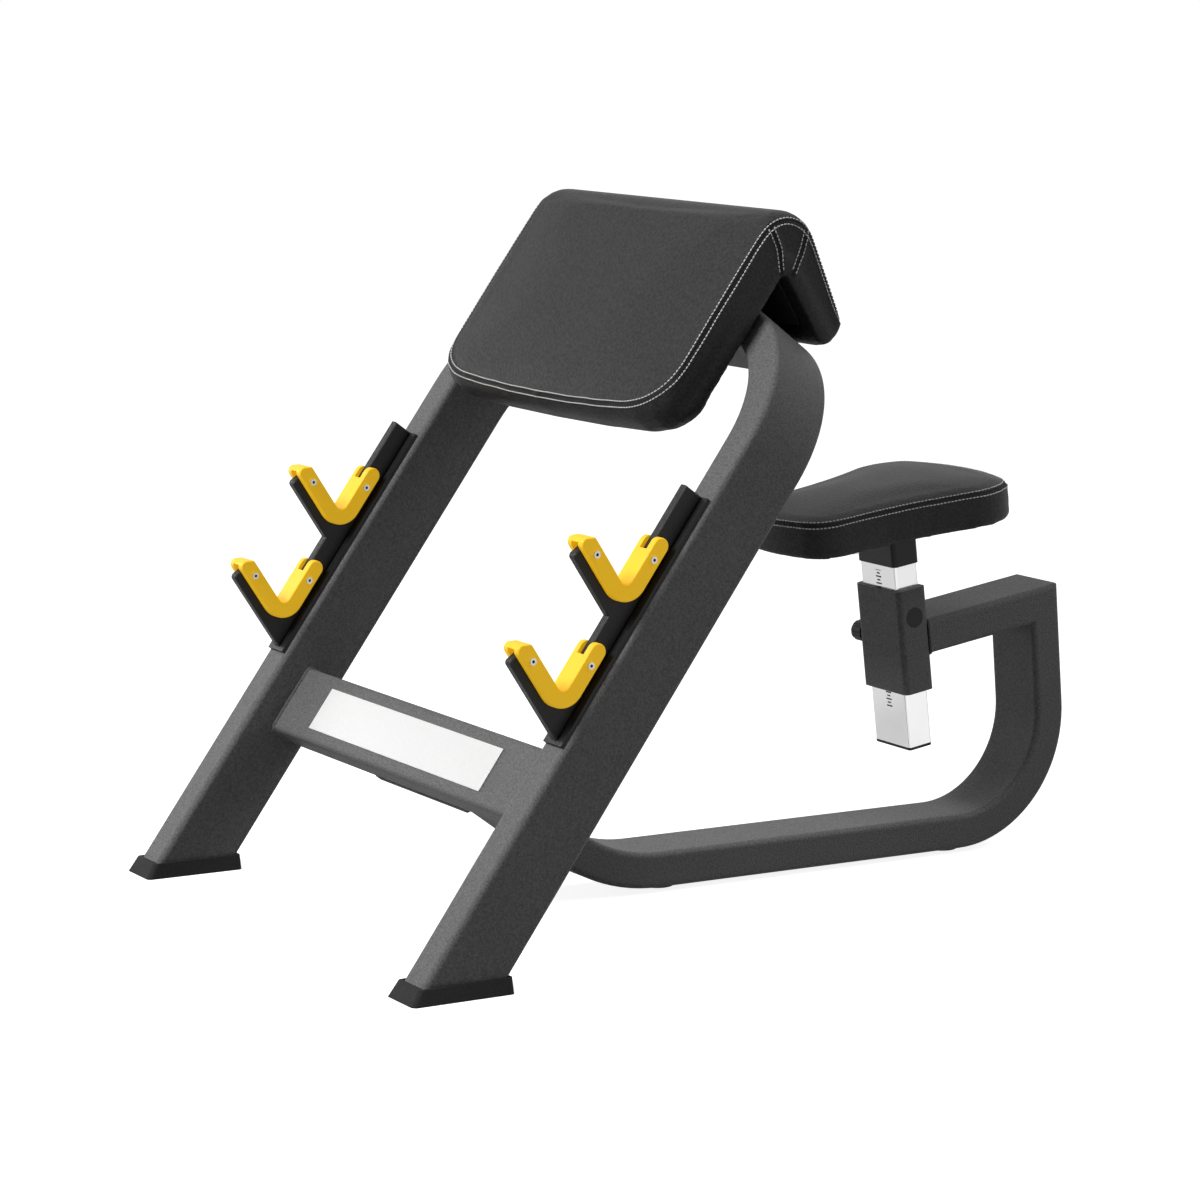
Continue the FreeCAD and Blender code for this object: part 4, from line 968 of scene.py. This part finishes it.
class BENCH_OT_stage(bpy.types.Operator):
    """Sets the floor, the lights, the surroundings and the camera"""

    bl_idname = "bench.stage"
    bl_label = "Stage"

    def execute(self, context):
        stage = context.scene.bench_stage
        self.floor(stage)
        for name, (place, size, power) in LAMPS.items():
            self.lamp(name, place, size, getattr(stage, power))
        self.surroundings(context.scene, stage)
        self.camera(context.scene, stage)
        context.scene.view_settings.view_transform = "Standard"
        return {"FINISHED"}

    @staticmethod
    def seen(tree):
        """1 for what the camera sees, also in a mirror or through glass."""
        path = add_node(tree, "LightPath").outputs
        mirrored = calculate(tree, "ADD", path["Is Glossy Ray"], path["Is Transmission Ray"])
        return calculate(tree, "ADD", path["Is Camera Ray"], mirrored, clamp=True)

    def floor(self, stage):
        """A wide pale floor that keeps the bench's shadow."""
        bpy.ops.object.select_all(action="DESELECT")
        bpy.ops.mesh.primitive_plane_add(size=FLOOR_SIZE, location=(0, 0, 0))
        floor = bpy.context.object
        floor.name = "studio_floor"
        material = bpy.data.materials.new("pale_floor")
        material.use_nodes = True
        tree = material.node_tree
        tree.nodes.clear()
        pale = two_tones(tree, self.seen(tree), FLOOR_LIT, FLOOR_SEEN)
        matt = add_node(tree, "BsdfDiffuse", Color=pale)
        place = add_node(tree, "NewGeometry").outputs["Position"]
        away = add_node(tree, "VectorMath", {"operation": "LENGTH"})
        tree.links.new(place, away.inputs[0])
        white = add_node(
            tree, "MapRange", Value=away.outputs["Value"], From_Min=GLOW_FROM, From_Max=GLOW_TO,
            To_Min=stage.floor_glow, To_Max=1.0,
        ).outputs[0]
        across, back, _ = add_node(tree, "SeparateXYZ", Vector=place).outputs
        mirrored = add_node(
            tree, "MapRange", Value=calculate(tree, "ADD", across, back),
            From_Min=-1.0, From_Max=1.0,
            To_Min=MIRROR_LEAST * stage.floor_glow, To_Max=MIRROR_MOST * stage.floor_glow,
        ).outputs[0]
        path = add_node(tree, "LightPath").outputs
        straight = calculate(tree, "MULTIPLY", path["Is Camera Ray"], white)
        glossy = calculate(tree, "MULTIPLY", path["Is Glossy Ray"], mirrored)
        glow = add_node(tree, "Emission", Strength=calculate(tree, "ADD", straight, glossy))
        both = add_node(tree, "AddShader")
        tree.links.new(matt.outputs[0], both.inputs[0])
        tree.links.new(glow.outputs[0], both.inputs[1])
        add_node(tree, "OutputMaterial", Surface=both.outputs[0])
        floor.data.materials.append(material)

    @staticmethod
    def lamp(name, place, size, power):
        """A large square light that faces the bench."""
        lamp = bpy.data.lights.new(name, "AREA")
        lamp.size = size
        lamp.energy = power
        holder = bpy.data.objects.new(name, lamp)
        holder.location = place
        aim = Vector(LAMP_AIM) - Vector(place)
        holder.rotation_euler = aim.to_track_quat("-Z", "Y").to_euler()
        bpy.context.scene.collection.objects.link(holder)

    def surroundings(self, scene, stage):
        """White all round to the eye, with a little even light on the bench."""
        world = bpy.data.worlds.new("white_studio")
        world.use_nodes = True
        scene.world = world
        tree = world.node_tree
        strength = spread(tree, self.seen(tree), stage.ambient, 1.0)
        back = tree.nodes["Background"]
        back.inputs["Color"].default_value = (1, 1, 1, 1)
        tree.links.new(strength, back.inputs["Strength"])

    @staticmethod
    def camera(scene, stage):
        """The camera at the picture's angle."""
        lens = bpy.data.cameras.new("camera")
        lens.lens = stage.lens
        lens.sensor_width = SENSOR_WIDTH
        camera = bpy.data.objects.new("camera", lens)
        scene.collection.objects.link(camera)
        azimuth, height, roll = stage.camera_turn
        turn = Matrix.Rotation(azimuth, 4, "Z") @ Matrix.Rotation(pi / 2 - height, 4, "X")
        place = Matrix.Translation(stage.camera_place)
        camera.matrix_world = place @ turn @ Matrix.Rotation(roll, 4, "Z")
        scene.camera = camera


OPERATORS = (
    BENCH_OT_stage, BENCH_OT_finishes, BENCH_OT_welds, BENCH_OT_arm_pad, BENCH_OT_seat_cushion
)


class BENCH_PT_pieces(bpy.types.Panel):
    """The bench's pieces in the sidebar"""

    bl_idname = "BENCH_PT_pieces"
    bl_label = "Preacher curl bench"
    bl_space_type = "VIEW_3D"
    bl_region_type = "UI"
    bl_category = "Bench"

    def draw(self, context):
        for operator in OPERATORS:
            self.layout.operator(operator.bl_idname)


GROUPS = {
    "bench_cushions": BenchCushions,
    "bench_welds": BenchWelds,
    "bench_finishes": BenchFinishes,
    "bench_stage": BenchStage,
}


def register():
    """Registers the classes and hangs their settings on the scene."""
    for group in (*GROUPS.values(), *OPERATORS, BENCH_PT_pieces):
        bpy.utils.register_class(group)
    for name, group in GROUPS.items():
        setattr(bpy.types.Scene, name, PointerProperty(type=group))


def unregister():
    """Takes the settings and the classes away again."""
    for name in GROUPS:
        delattr(bpy.types.Scene, name)
    for group in (BENCH_PT_pieces, *reversed(OPERATORS), *GROUPS.values()):
        bpy.utils.unregister_class(group)


def main():
    """Makes the whole bench."""
    register()
    bpy.ops.bench.stage()
    bpy.ops.bench.finishes()
    bpy.ops.bench.welds()
    bpy.ops.bench.arm_pad()
    bpy.ops.bench.seat_cushion()


if __name__ == "__main__":
    main()
